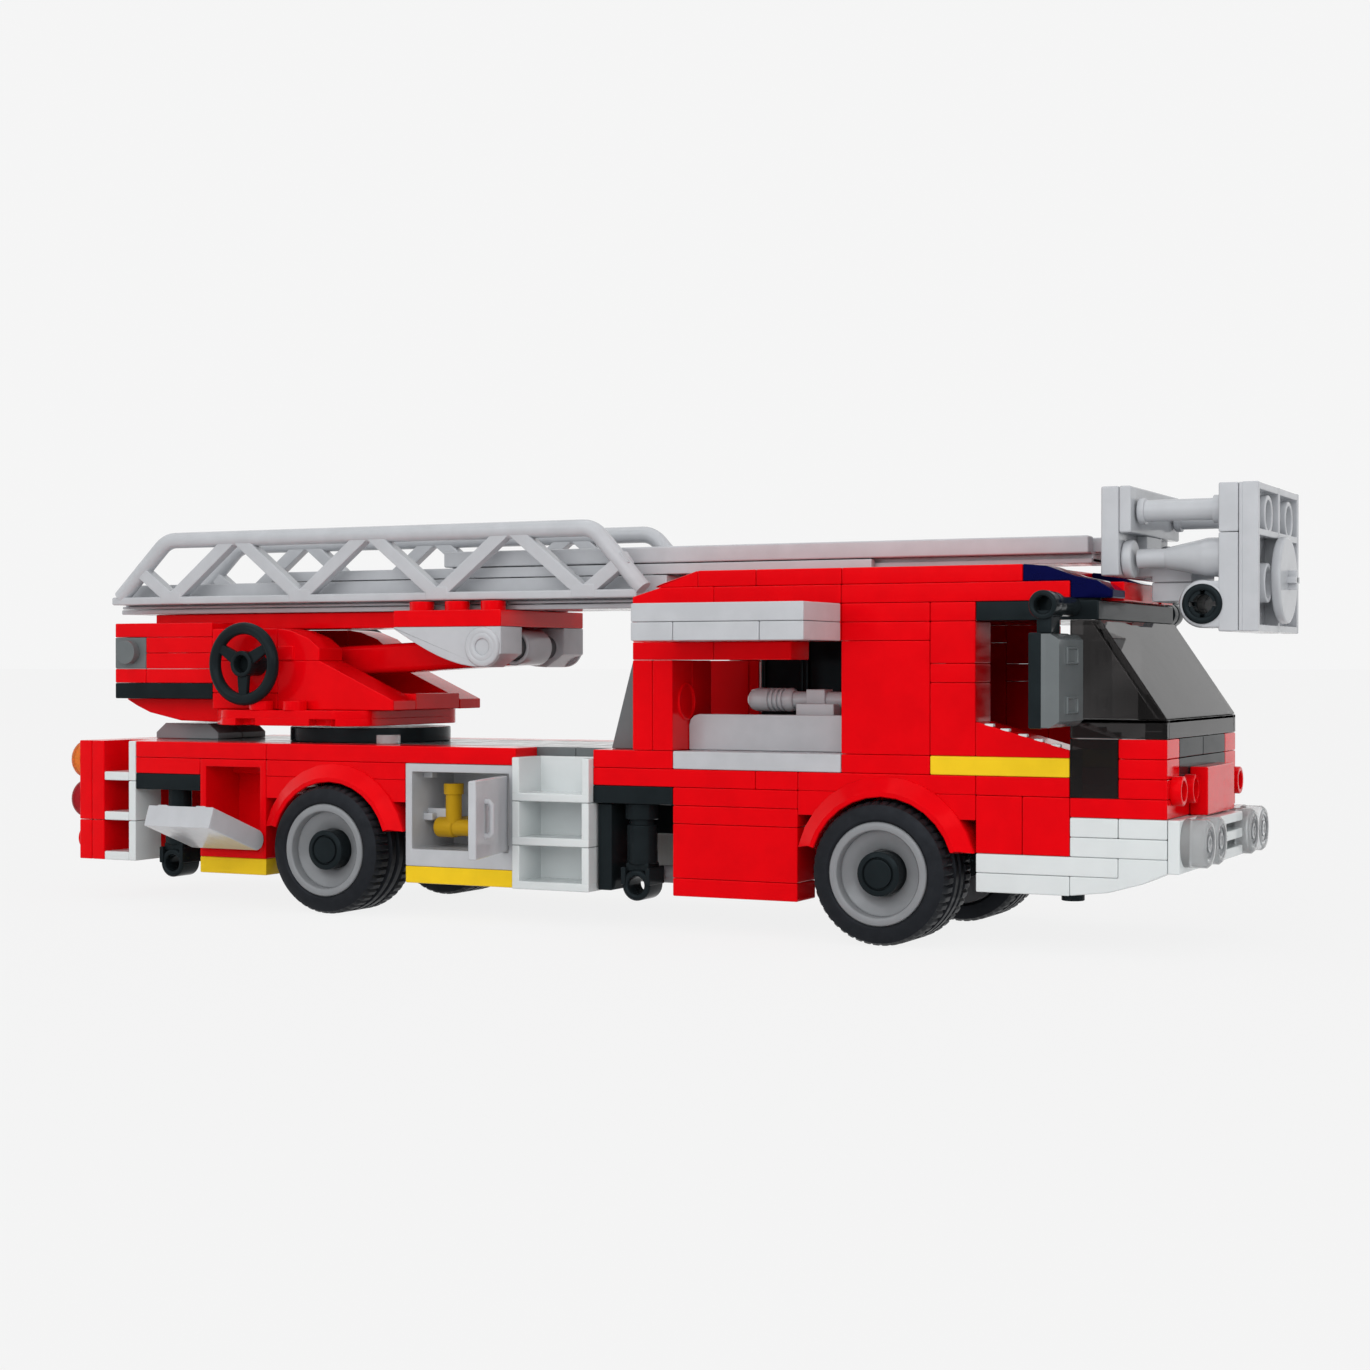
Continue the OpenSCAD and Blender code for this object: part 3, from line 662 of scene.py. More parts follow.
# %% Roof and beacons
tail_end = [(12, 9), (12, 9.5), (11.3, 10.0), (10, 10), (10, 9)]
cap_end = [(11.5, 10), (11.3, 10.2), (10.9, 10.5), (10.4, 10.9), (10.4, 10)]
shapes = []
for y in (-3, 2):
    shapes += row([10, 7, 2], y, y + 1, 9, 10) + [profile(y, y + 1, tail_end)]
shapes += row([10, 7, 3], -2, 2, 9, 10) + row([10.4, 9, 7, 3], -2.97, 2.97, 10, 10.9)
shapes += [profile(-2.97, 2.97, cap_end), profile(-2, 2, tail_end)]
shapes += both(row([3, 1.15], -2, -1, 9, 10)) + row([3, 1.2], -1, 1, 9, 10)
piece("roof_plates", shapes, RED, "roof")
lens = [(3, 10), (3, 10.9), (2.5, 10.78), (1.9, 10.25), (1.45, 10), (1.12, 9.5), (1.12, 9.1), (2, 9.1),
        (2, 10)]
piece("beacon_lenses", both([profile(-2.97, -2.03, lens)]), BLUE, "beacons")

# %% [markdown]
# ## Glass and front
# The windscreen is a clear smoke moulding: a hollow brick below and a sloped shell above it. A solid lump
# would look black, so it is made of thin sheets, with the thin walls that the real moulding has.

# %% Windscreen
GLASS = 1.3
half = 3 * STUD - SEAM
x0, x1, low, high = fx(2) + SEAM, fx(0) - SEAM, pz(2) + SEAM, pz(3) - SEAM
dx = GLASS / math.sin(math.atan2(5 * PLATE, 1.37 * STUD))
front = [(x1, pz(3)), (fx(1.37), pz(8)), (fx(1.37) - dx, pz(8)), (fx(0) - dx, pz(3))]
side = [(fx(0) - dx + 0.05, pz(3)), (fx(1.37) - dx + 0.05, pz(8)), (x0, pz(8)), (x0, pz(3))]
sheets = ((-half, -half + GLASS), (half - GLASS, half))
shapes = [slab(front, -half, half, "y", 0.2)]
shapes += [slab(side, y0, y1, "y", 0.15) for y0, y1 in sheets]
shapes += [box(x0, x1, y0, y1, low, high, 0.15) for y0, y1 in sheets]
shapes.append(box(fx(GLASS / STUD) + SEAM, x1, -half + GLASS, half - GLASS, low, high, 0.15))
shapes.append(box(x0, x1, -half, half, pz(3) - 0.7, high, 0.15))
right = [box(x0, fx(1) - SEAM, -side_y, -2.8 * STUD, pz(-1), pz(2) - SEAM, 0.15)]
# The smoke finish paints reflection on the windscreen as large lighter and darker blotches.
piece("windscreen_shell", shapes + both(right), SMOKE_WITH_PAINTED_REFLECTION, "windows")

# %% Black trim, seat and nose
shapes = row([4, 1.4], -3, 3, 8, 9) + row([1, 0.5, 0], -2, 2, 0, 1)
shapes += row([1, 0], -2, 0, 1, 2) + row([1, 0], 0, 2, 1, 2)
shapes += [disc((fx(1.9), y * STUD), 3.4, pz(8.2), pz(9) + 1.0, "z", 0.2) for y in (-2.5, 2.5)]
piece("cab_black_plates", shapes, BLACK, "cab_trim")
back = profile(-1.5, 1.5, [(6, 0), (6, 4), (5.8, 4.2), (5.6, 4), (5.6, 0)])
piece("cab_bench", row([5.6, 4], -1.5, 1.5, 0, 1.2) + [back], DARK, "cab_seat")

# %% Bumper
lip = [(2, -5.98), (2, -5), (1, -5), (1, -4), (0, -4), (0, -4.7), (0.5, -5.25), (1.2, -5.75)]
right = row([2, 1, 0], -3, -2, -3, -2) + row([2, 0], -3, -2, -4, -3)
right += row([4, 1], -3, -2, -5, -4) + row([4, 2], -3, -2, -6, -5) + [profile(-3, -2, lip)]
shapes = both(right) + row([2, 0], -2, 2, -4, -2)
shapes.append(panel(-side_y, side_y, pz(-4.7), pz(-2), fx(0) + SEAM, fx(-0.25), 0.25))
for p in (-2.3, -3.2, -4.1):
    shapes.append(panel(-STUD, STUD, pz(p - 0.25), pz(p + 0.25), fx(-0.25), fx(-0.6), 0.2))
piece("bumper_plates", shapes, WHITE, "bumper")
right = [ring((fx(2.1), -2.4 * STUD), 1.9, 1.2, pz(-6.35), pz(-5.8), "z", 0.1)]
piece("bumper_stubs", both(right), BLACK)

# %% Headlights
r, x1 = 0.49 * STUD, fx(-0.75)
steps = [(0, fx(-0.25)), (0, x1 - 0.5), (0.5, x1), (1.1, x1), (1.3, x1 - 0.5), (r - 1.5, x1 - 0.5),
         (r - 1.3, x1 - 0.1), (r - 0.9, x1 - 0.1), (r - 0.8, x1 - 0.6), (r - 0.3, x1 - 0.7)]
centres = [(y * STUD, pz(-3.2)) for y in (-1.5, -2.5)]
piece("headlamp_lenses", both([stack(circle(r, 36, c), steps, "x") for c in centres]), CLEAR, "headlights")
radii = ((3.35, 3.15), (2.35, 2.2), (1.45, 1.3))
right = [ring(c, outer, inner, x1 - 0.35, x1 - 0.1, "x", 0.05) for c in centres for outer, inner in radii]
piece("headlamp_rings", both(right), RIM, "headlights")

# %% [markdown]
# ## Mirrors and the gear in the bay
# The mirror is a slab with a bevelled housing that carries two sunk panels, hung from a bar through a
# ringed joint.

# %% Mirrors
back, face, joint = fx(2.24), fx(1.6), (fx(1.95), pz(8.65))
y0, y1 = side_y + 0.9, side_y + 0.5 + 1.95 * STUD
z0, z1 = pz(2.6), pz(7.3)
left = [panel(y0, y1, z0, z1, back, back + 2.2, 0.3),
        box(joint[0] - 1.2, joint[0] + 1.2, side_y + 1.3 * STUD, side_y + 1.9 * STUD, pz(7.25), pz(8.4)),
        disc(joint, BAR_R, side_y + 0.02, side_y + 1.3 * STUD, "y"),
        ring(joint, 2.3, 1.4, side_y + 1.6 * STUD, side_y + 2 * STUD, "y", 0.2),
        disc(joint, 2.2, side_y + 1.25 * STUD, side_y + 1.6 * STUD - 0.05, "y", 0.2)]
piece("mirror_arms", both(left), BLACK, "mirrors")

outline = rect(y0 + 0.3, y1 - 0.1, z0 + 0.2, z1 - 0.2)
left = [stack(outline, [(0, back + 2.1), (0, back + 3.6), (0.9, face - 0.35)], "x")]
middle = (y0 + y1) / 2 + 0.1
for z in (z0 + 2.2, z1 - 5.0):
    sunk = rect(middle - 3.0, middle + 3.0, z, z + 2.8)
    left.append(cup(sunk, draw_in(sunk, 0.4), face - 0.5, face, face - 0.3, "x", 0.1))
piece("mirror_housings", both(left), DARK, "mirrors")

# %% Gear in the bay
y, z = -1.5 * STUD, pz(3.8)
steps = [(0.9, fx(9.8)), (0.25, fx(9.72)), (0, fx(9.6)), (0, fx(9.3))]
for i in range(4):
    x = fx(9.3) + 0.9 * i
    steps += [(0, x + 0.05), (0.35, x + 0.15), (0.35, x + 0.45), (0, x + 0.55)]
steps += [(0, fx(8.75)), (0.3, fx(8.7)), (0.6, fx(8.7)), (0.6, fx(7.0))]
right = [stack(circle(2.1, 28, (y, z)), steps, "x"),
         box(fx(8.5), fx(7.6), -1.95 * STUD, -1.05 * STUD, pz(1), z - 0.6),
         box(fx(8.35), fx(7.9), y - 1.9, y + 1.9, z - 2.0, z + 1.9)]
piece("bay_nozzles", both(right), LIGHT, "bay_tools")

# %% Window frames across the bay
y0, y1 = 8.3, 9.6
shapes = []
for n0, n1 in ((10.7, 9.6), (9.6, 8.5)):
    outline = rect(fx(n0) + SEAM, fx(n1) - SEAM, pz(3.2), pz(8.9))
    shapes.append(cup(outline, draw_in(outline, 0.9), y1, y0, 9.2, "y", 0.2))
    shapes.append(block(n0, n1, y0 / STUD, y1 / STUD, 1, 3.2))
piece("bay_window_frames", shapes, BLACK)
piece("bay_inner_wall", wall(12.15, 10.75, y0 / STUD, y1 / STUD, [1, 3.2, 6]), RED)

# %% [markdown]
# ## Wheels
# A tyre is one closed surface of two parameters: the angle round the axle, and the way round its section.
# The tread is a ripple in the radius that only acts on the crown, so the side walls stay smooth.

# %% Tyres
WHEELS = [f"{end}_{side}" for end in ("front", "rear") for side in ("left", "right")]
BEAD = 8.8


def tyre(wheel):
    """radius = section(v) - notch(u, v): u is the angle round the axle, and v runs from the inner bead over
    the crown and its three grooves to the outer bead, and back through the bore."""
    lo, hi = limits(f"tyre_{wheel}")
    cx, cz, radius = (lo[0] + hi[0]) / 2, (lo[2] + hi[2]) / 2, (hi[0] - lo[0]) / 2
    left = wheel.endswith("left")
    way, y_in = (1, lo[1]) if left else (-1, hi[1])
    crown = [(1.6, 0.0), (0.55, 0.5), (0.1, 1.3), (0, 1.9)]
    for v in (3.9, 6.4, 8.9):
        crown += [(0, v), (0.7, v + 0.3), (0.7, v + 0.9), (0, v + 1.2)]
    crown += [(0, 12.1), (0.1, 12.7), (0.55, 13.5), (1.6, 14.0)]
    section = [(BEAD, 0.3), (BEAD + 0.4, 0.0), *[(radius - depth, v) for depth, v in crown]]
    section += [(BEAD + 0.4, 14.0), (BEAD, 13.7)]
    r, v = np.array(section).T[:, None]
    u = np.linspace(0, 2 * np.pi, 192, endpoint=False)[:, None]
    shoulder = ((v > 1.0) & (v < 4.0) | (v > 10.0) & (v < 13.0)) & (r > radius - 0.3)
    r = r - np.where(shoulder & (np.cos(u * 48) > 0.5), 0.4, 0.0)
    across = np.broadcast_to(y_in + way * v, r.shape)
    grid = np.stack([cx + r * np.cos(u), across, cz + r * np.sin(u)], -1)
    points, faces = skin(list(grid.transpose(1, 0, 2)), loop=True)
    return points, [f[::-1] for f in faces] if left else faces


for wheel in WHEELS:
    piece(f"tyre_tread_{wheel}", [tyre(wheel)], RUBBER, f"tyre_{wheel}", body=f"wheel_{wheel}", sharp=35)


# %% Rims
def rim(wheel):
    """A rim: a rounded outer ring, a conical dish and a stepped cap in the middle. Each step is (how far it
    is drawn in, how deep it lies below the outer face)."""
    lo, hi = limits(f"rim_{wheel}")
    centre = ((lo[0] + hi[0]) / 2, (lo[2] + hi[2]) / 2)
    radius, width = (hi[0] - lo[0]) / 2 - 0.02, hi[1] - lo[1]
    way, out = (1, hi[1]) if wheel.endswith("left") else (-1, lo[1])
    lip = [(0.3, width), (0, width - 0.3), (0, 0.3), (0.3, 0), (1.2, 0), (1.5, 0.3), (1.5, 2.2), (1.5, 4.4)]
    dish = [(0, 4.6), (0, 2.0), (0.35, 1.9), (3.2, 3.4), (3.4, 4.2)]
    cap = [(0, 4.5), (0, 0.55), (0.35, 0.3), (0.9, 0.3), (1.1, 0.8), (1.25, 0.8), (1.35, 0.35), (1.7, 0.3)]
    return [stack(circle(size, sides, centre), [(inset, out - way * depth) for inset, depth in steps], "y")
            for size, sides, steps in ((radius, 64, lip), (radius - 1.52, 64, dish), (3.75, 40, cap))]


for wheel in WHEELS:
    for name, shape, finish in zip(("lip", "dish", "cap"), rim(wheel), (RIM, RIM, BLACK)):
        piece(f"rim_{name}_{wheel}", [shape], finish, f"rim_{wheel}", body=f"wheel_{wheel}")

# %% [markdown]
# ## Turret
# The turret turns on a round black plate. Its red base has studs on top and open notches below, its side
# walls are bricks topped by curved slopes, and the counterweight hangs behind.

# %% Turntable and turret
shapes = [disc((fx(21), 0), 2 * STUD, pz(1) + 0.02, pz(1) + PLATE - 0.3, "z", 0.25, 64)]
piece("turntable_plate", shapes, BLACK, "turntable_ring")

base_x, half = fx(22), 2.5 * STUD
edge_line = np.clip(circle(3 * STUD, 96, (base_x, 0)), [fx(25), -half], [fx(19.7), half])
base = [edge_line[0]] + [q for p, q in zip(edge_line, edge_line[1:]) if np.linalg.norm(q - p) > 0.3]
left_part = [q for q in base if q[1] > -half + 0.01 and q[0] < base_x or q[1] > 0]
right_part = [q for q in base if q[1] > -half + 0.01 and q[0] >= base_x and q[1] <= 0]
notches = [(fx(n), -half + depth) for n0, n1 in ((23.3, 22.7), (21.1, 20.45))
           for n, depth in ((n0, 0), (n0, 2.4), (n1, 2.4), (n1, 0))]
shapes = [slab(base, pz(2) + 1.4, pz(3) - SEAM, "z", EDGE, 0),
          slab(left_part + notches + right_part, pz(2) + 0.1, pz(2) + 1.6, "z", 0.15, 0)]
right = [disc((fx(n), -1.95 * STUD), STUD_R - 0.2, pz(2) + 0.15, pz(2) + 1.9) for n in (23.0, 20.78)]
right += [stud((fx(n), -2.25 * STUD), pz(3) - SEAM) for n in (22.7, 21.7)]
right += wall(24.4, 22.4, -2, -1, [3, 4, 6, 8])
right.append(profile(-2, -1, [(22.4, 6), (22.4, 8), (22, 7.85), (21.5, 7.4), (21.15, 6.75), (21.15, 6)]))
right.append(profile(-2, -1, [(22.4, 3), (22.4, 6), (21.15, 6), (19, 3.6), (19, 3)]))
right.append(slab(rect(fx(22.35), fx(21.9), pz(6.05), pz(6.9)), -2 * STUD - 0.35, -2 * STUD + 0.5, "y", 0.15))
shapes += both(right) + row([20, 19], -1, 1, 3, 4)
shapes.append(profile(-1.5, 1.5, [(27.6, 3.6), (27.2, 3.1), (26.8, 2.7), (25.8, 2.2), (24, 2.1), (24, 3.6)]))
piece("turret_bricks", shapes, RED, "turret", body="turret")

shapes = [disc((fx(19.2), -1.9 * STUD), STUD_R - 0.1, pz(1) + 0.03, pz(1) + 1.7)]
piece("deck_round_plate", shapes, CLEAR)

# %% Counterweight
right = wall(26.5, 24.4, -2, -1.04, [4.6, 5.5, 6.5, 7.5]) + row([27.5, 24.4], -2, -1.04, 7.5, 8.4)
right += row([27.5, 26.5], -2, -1.04, 4.6, 5.5)
piece("counterweight_bricks", both(right), RED, "counterweight", body="turret")
piece("counterweight_plate", row([27.5, 24.4], -2, 2, 3.6, 4.6), BLACK, "counterweight", body="turret")
right = row([27.5, 26.5], -2, -1.04, 5.5, 7.5) + [stud((fx(27), pz(6.55)), -2 * STUD + SEAM, "y", -1)]
piece("counterweight_studs", both(right), DARK, "counterweight", body="turret")

# %% Hand wheel
arm = np.array([fx(23), pz(5.8)])
rim_y = -2 * STUD - 4.4
turns = circle(1.0, 48)
rings = []
for a, b in circle(1.2, 14):
    x, z = (arm + (7 + a) * turns).T
    rings.append(np.stack([x, np.full(48, rim_y + b), z], 1))
right = [skin(rings, loop=True), ring(arm, 2.6, 1.7, rim_y + 1.4, rim_y - 1.1, "y", 0.2),
         disc(arm, STUD_R - 0.05, -0.5, rim_y + 1.2, "y", 0.1)]
for angle in (270, 30, 150):
    a = math.radians(angle)
    out, side = np.array([math.cos(a), math.sin(a)]), np.array([-math.sin(a), math.cos(a)])
    spoke = [arm + out * along + side * across
             for along, across in ((2.2, 1.3), (6.5, 0.9), (6.5, -0.9), (2.2, -1.3))]
    right.append(slab(spoke, rim_y - 0.6, rim_y + 0.6, "y", 0.25))
piece("hand_wheels", both(right), BLACK, "hand_wheel", body="turret")

# %% [markdown]
# ## Arm and boom
# The arm is one moulding with a thick middle and bevelled edges. It carries the boom: red plates above,
# grey curved brackets below, and a hollow pin between them.

# %% Lifting arm
tilt = (fx(16.5), pz(6.8))
outline = [(arm[0], arm[1] - 3), (arm[0], arm[1] + 3), (fx(19.6), tilt[1] + 1), (tilt[0], tilt[1] + 2),
           (tilt[0], tilt[1] - 3.4)]
shapes = [slab(outline, -0.55 * STUD, 0.55 * STUD, "y", 1.0, 1.6),
          ring(arm, 3.5, STUD_R + 0.05, -0.9 * STUD, 0.9 * STUD, "y", 0.3)]
piece("lift_arm_moulding", shapes, RED, "lift_arm", body="lift_arm")
shapes = [ring(tilt, 3.5, STUD_R + 0.1, -0.56 * STUD, 0.56 * STUD, "y", 0.3)]
piece("lift_arm_sleeve", shapes, LIGHT, "lift_arm", body="lift_arm")

# %% Boom
shapes = row([27, 19], -1, 1, 8, 9) + row([19, 16], -2, 2, 8, 9)
shapes += both([stud((fx(n), -1.5 * STUD), pz(9) - SEAM) for n in (16.5, 17.5, 18.5)])
piece("boom_plates", shapes, RED, "boom_plate", body="boom")
under = [(19 - 2.5 * s, 7.9 - 2.3 * math.sin(s * math.pi / 2)) for s in np.linspace(0, 1, 9)]
right = [profile(-2, -1, [*under, (16, 6.4), (16, 8), (19, 8)]),
         ring(tilt, 3.8, STUD_R, -2 * STUD - 0.35, -2 * STUD + 1.0, "y", 0.3, 40),
         ring(tilt, 2.9, 1.5, -2 * STUD - 0.3, -STUD, "y", 0.2, 40)]
piece("boom_bracket_sides", both(right), LIGHT, "boom_brackets", body="boom")
piece("boom_pin", [disc(tilt, STUD_R, -STUD, STUD, "y", 0.1)], DARK, "boom_brackets", body="boom")

# %% [markdown]
# ## Ladder
# Three sections slide in each other, each with its side rails. The lowest has trusses: a round tube bent
# down at both ends over a zigzag of flat bars.

# %% Lower section and trusses
bed_z = pz(9)
truss_z = bed_z + 0.6 * PLATE
middle_z, upper_z = limits("ladder_middle")[0][2], limits("ladder_upper")[0][2]
length = 16 * STUD
x0, x1 = fx(28), fx(28) + length - 1.2
layers = ((1.15, bed_z + 0.05, bed_z + 1.0), (1.12, bed_z + 1.15, truss_z - 0.2),
          (1, truss_z - 0.3, middle_z - 0.15))
shapes = [box(x0, x1, -half * STUD, half * STUD, z0, z1) for half, z0, z1 in layers]
piece("ladder_lower_bed", shapes, LIGHT, "ladder_lower", body="boom")

y = -1.5 * STUD
top, foot = limits("ladder_trusses")[1][2] - BAR_R, truss_z + BAR_R
path = [(fx(27.7), y, foot)]
bend = np.linspace(0, 1, 6)[:, None]
for corners in (((27.7, foot), (26.2, top), (22, top)), ((18, top), (13.8, top), (12.5, foot))):
    p, q, r = (np.array([fx(n), z]) for n, z in corners)
    e1, e2 = (q + (end - q) / np.linalg.norm(end - q) * 2.2 for end in (p, r))
    arc = (1 - bend) ** 2 * e1 + 2 * bend * (1 - bend) * q + bend ** 2 * e2
    path += [(x, y, z) for x, z in arc]
path.append((fx(12.5), y, foot))
right = [sweep(path, circle(BAR_R, 20), (0, 1, 0))]
right.append(box(fx(27.9), fx(12.6), y - BAR_R + 0.4, -STUD - 0.03, truss_z, truss_z + BAR_R, 0.3))
for n in (26, 22, 18, 14):
    right.append(box(fx(n) - 2.6, fx(n) + 2.6, y - 1.26, y + 1.26, truss_z + 0.1, foot + 1.1, 0.3))
    for way in (1, -1):
        half = 1.2 + 0.02 * way
        bar = soften(rect(-half, half, -1.3, 1.3), 0.3)
        reach, rise = (1.1, foot + 5.9) if (n, way) in ((26, 1), (14, -1)) else (1.9, top)
        right.append(sweep([(fx(n), y, foot - 0.6), (fx(n + way * reach), y, rise)], bar, (0, 1, 0)))
piece("ladder_truss_sides", both(right), LIGHT, "ladder_trusses", body="boom")

# %% Middle and upper sections
x0, x1 = fx(23.1), fx(23.1) + length
sides = ((-STUD, -0.79 * STUD), (0.79 * STUD, STUD))
shapes = [box(x0, x1, y0, y1, middle_z, middle_z + 0.6 * PLATE, 0.15) for y0, y1 in sides]
shapes.append(box(x0, x1, -0.8 * STUD, 0.8 * STUD, middle_z, middle_z + 0.38, 0.1))
piece("ladder_middle_rails", shapes, LIGHT, "ladder_middle", body="ladder_middle")

x0, x1 = fx(18.2), fx(18.2) + length
rail_low, rail_high = upper_z + 0.5 * PLATE, upper_z + 1.44 * PLATE
half = 0.63 * STUD
shapes = [box(x0, x1, -0.75 * STUD, 0.75 * STUD, upper_z, upper_z + 0.26 * PLATE, 0.1),
          box(x0, x1, -0.62 * STUD, 0.62 * STUD, upper_z + 0.2, rail_low, 0.1),
          box(x0, x1, -STUD, -0.62 * STUD, rail_low, rail_high, 0.3),
          box(x0, x1, 0.62 * STUD, STUD, rail_low, rail_high, 0.3),
          box(x0, x1, -half, half, rail_low, rail_low + 0.5, 0.1)]
for x in np.arange(x0 + 4, x1, STUD):
    shapes.append(box(x - 1.1, x + 1.1, -half, half, rail_low + 0.4, rail_high - 0.3, 0.3))
shapes.append(block(2.3, 1.65, -0.5, 0.5, 11.7, 12.5))
piece("ladder_upper_rails", shapes, LIGHT, "ladder_upper", body="ladder_upper")

# %% [markdown]
# ## Ladder head and basket
# The head is built sideways: plates stand on edge, and two round bars and a cone reach forward to the
# basket's floor, which is folded up against them. The floor shows its underside: pockets and round tubes.

# %% Head
hub = np.array([fx(-0.45), pz(8.8)])
edge = 2 * STUD
shapes = [panel(-edge, edge, pz(10.3), pz(14.9), fx(1.65) + 0.02, fx(1.27) - 0.02, 0.3),
          panel(-edge, edge, pz(12.5), pz(14.9), fx(1.27), fx(1.02), 0.3),
          panel(-0.6 * STUD, 0.6 * STUD, pz(11.4), pz(12.5), fx(1.27), fx(1.05), 0.2)]
shapes += [disc((y * STUD, pz(11.2)), 2 * BAR_R, fx(1.27), fx(1.05), "x", 0.5) for y in (-1.5, 1.5)]
shapes += row([1.3, 0.8], -1, 1, 10.3, 11.3) + wall(0.85, 0, -1, 1, [9, 10, 11.3])
shapes.append(ring(hub, 3.8, BAR_R, -STUD, STUD, "y", 0.3, 40))
piece("ladder_head_plates", shapes, LIGHT, "ladder_head", "basket_hinge", body="ladder_upper")


def sleeve(angle):
    """A quarter of the hollow pin's end, from one slot to the next, starting at an angle in degrees."""
    t = math.radians(angle + 12) + np.linspace(0, math.radians(66), 8)
    way = np.stack([np.cos(t), np.sin(t)], 1)
    return stack(np.vstack([hub + 2.3 * way, hub + 1.65 * way[::-1]]), [(0, -edge), (0, -edge + 4.0)], "y")


shapes = both([sleeve(90 * k) for k in range(4)])
shapes.append(ring(hub, 2.35, 1.62, -edge + 3.0, edge - 3.0, "y", 0.1))
shapes += both([ring(hub, 3.25, 2.2, -edge - 0.45, -edge + 0.3, "y", 0.2, 40)])
piece("basket_pin", shapes, BLACK, "basket_hinge", body="ladder_upper")

# %% Basket
floor_x = fx(-0.77)
frame_out, back = floor_x + 2 * PLATE, floor_x + PLATE + SEAM
z0, z1 = pz(7.4), pz(14.9)
split = z0 + edge
shapes = [panel(-edge, edge, low + SEAM, high - SEAM, floor_x, floor_x + PLATE - SEAM)
          for low, high in ((z0, split), (split, z1))]
shapes.append(panel(-edge + 0.06, edge - 0.06, z0 + 0.06, z1 - 0.06, back, back + 0.9, 0.15))
back += 0.5
for ya, yb in ((-edge, -edge + 1.2), (edge - 1.2, edge), (-0.6, 0.6)):
    shapes.append(panel(ya, yb, z0, z1, back, frame_out, 0.2))
for za, zb in ((z0, z0 + 1.2), (z1 - 1.2, z1), (split - 0.6, split + 0.6)):
    shapes.append(panel(-edge + 0.6, edge - 0.6, za + 0.03, zb - 0.03, back, frame_out - 0.04, 0.2))
for y in (-1, 1):
    for z in (z0 + STUD, z0 + 2 * STUD + 3.0):
        shapes.append(ring((y * STUD, z), 3.25, STUD_R, back, frame_out - 0.05, "x"))
disc_z = pz(10.1)
tip_x = limits("basket")[1][0]
shapes.append(disc((0, disc_z), 0.9 * STUD, frame_out, frame_out + 1.6, "x", 0.4, 40))
for w, h in ((BAR_R, 0.55), (0.55, BAR_R)):
    shapes.append(panel(-w, w, disc_z - h, disc_z + h, frame_out + 1.5, tip_x - 0.02, 0.15))
right = [ring(hub, 3.9, STUD_R, -edge + 0.02, -1.1 * STUD, "y", 0.4, 40)]
for low, high in ((-3.85, -2.4), (2.4, 3.7)):
    lug = rect(hub[0] - 0.3, floor_x + 0.5, hub[1] + low, hub[1] + high)
    right.append(slab(lug, -edge + 0.05, -1.1 * STUD, "y", 0.3))
piece("basket_floor", shapes + both(right), LIGHT, "basket", body="basket")

x0 = limits("basket_rails")[0][0]
steps = [(0.4, x0), (0.1, x0 + 0.3), (0.1, x0 + 1.2), (0.5, x0 + 1.3), (0.5, floor_x - 1.6),
         (0, floor_x - 1.5), (0, floor_x)]
right = [stack(circle(2.3, 28, (-1.5 * STUD, pz(13.65))), steps, "x")]
steps = [(1.6, x0), (1.6, fx(0.4)), (1.45, fx(0.4) + 0.1), (0.2, fx(-0.35)), (0, fx(-0.45)), (0, floor_x)]
right.append(stack(circle(3.2, 32, (-1.5 * STUD, pz(11.2))), steps, "x"))
piece("basket_bars", both(right), LIGHT, "basket_rails", body="basket")

# %% [markdown]
# ## Doors
# The cupboard doors stand open and the flaps hang half down. Both are made in their own plane and then
# turned about their hinge line, which is where the frame holds them.

# %% Doors and flaps
def turned(shape, pivot, degrees, axes):
    """Turns points about a pivot in one plane: a' = a cos t - b sin t, b' = a sin t + b cos t."""
    points, faces = shape
    c, s = math.cos(math.radians(degrees)), math.sin(math.radians(degrees))
    a, b = (points[:, axis] - start for axis, start in zip(axes, pivot))
    moved = points.copy()
    moved[:, axes[0]] = pivot[0] + a * c - b * s
    moved[:, axes[1]] = pivot[1] + a * s + b * c
    return moved, faces


def hinged(name, node, shapes, pivot, degrees, axes):
    """A door for the left side and one for the right, each on a body of its own."""
    shapes = [turned(shape, pivot, degrees, axes) for shape in shapes]
    for side, made in (("left", shapes), ("right", [flip(shape) for shape in shapes])):
        piece(f"{name}_{side}", made, LIGHT, f"{node}_{side}", body=f"{node}_{side}")


DOOR_OPEN, FLAP_REST = 105, 20
x, width = fx(15.2), 2.55 * STUD
low, high = pz(-5) + 0.3, pz(-0.5) - 0.3
middle = (low + high) / 2
grip_y = side_y + width - 5.5
grip = [(-0.2, -3.0), (0.7, -3.0), (1.2, -2.4), (1.2, 2.4), (0.7, 3.0), (-0.2, 3.0)]
door = [box(x - 1.5, x, side_y, side_y + width, low, high, 0.25),
        sweep([(x + a, grip_y, middle + b) for a, b in grip], circle(0.5, 12), (0, 1, 0))]
for z in (middle - 3.6, middle + 2.8):
    door.append(box(x - 0.1, x + 0.3, grip_y - 0.5, grip_y + 0.5, z, z + 0.8, 0.1))
hinged("cupboard_door_panel", "cupboard_door", door, (x, side_y), 90 - DOOR_OPEN, (0, 1))

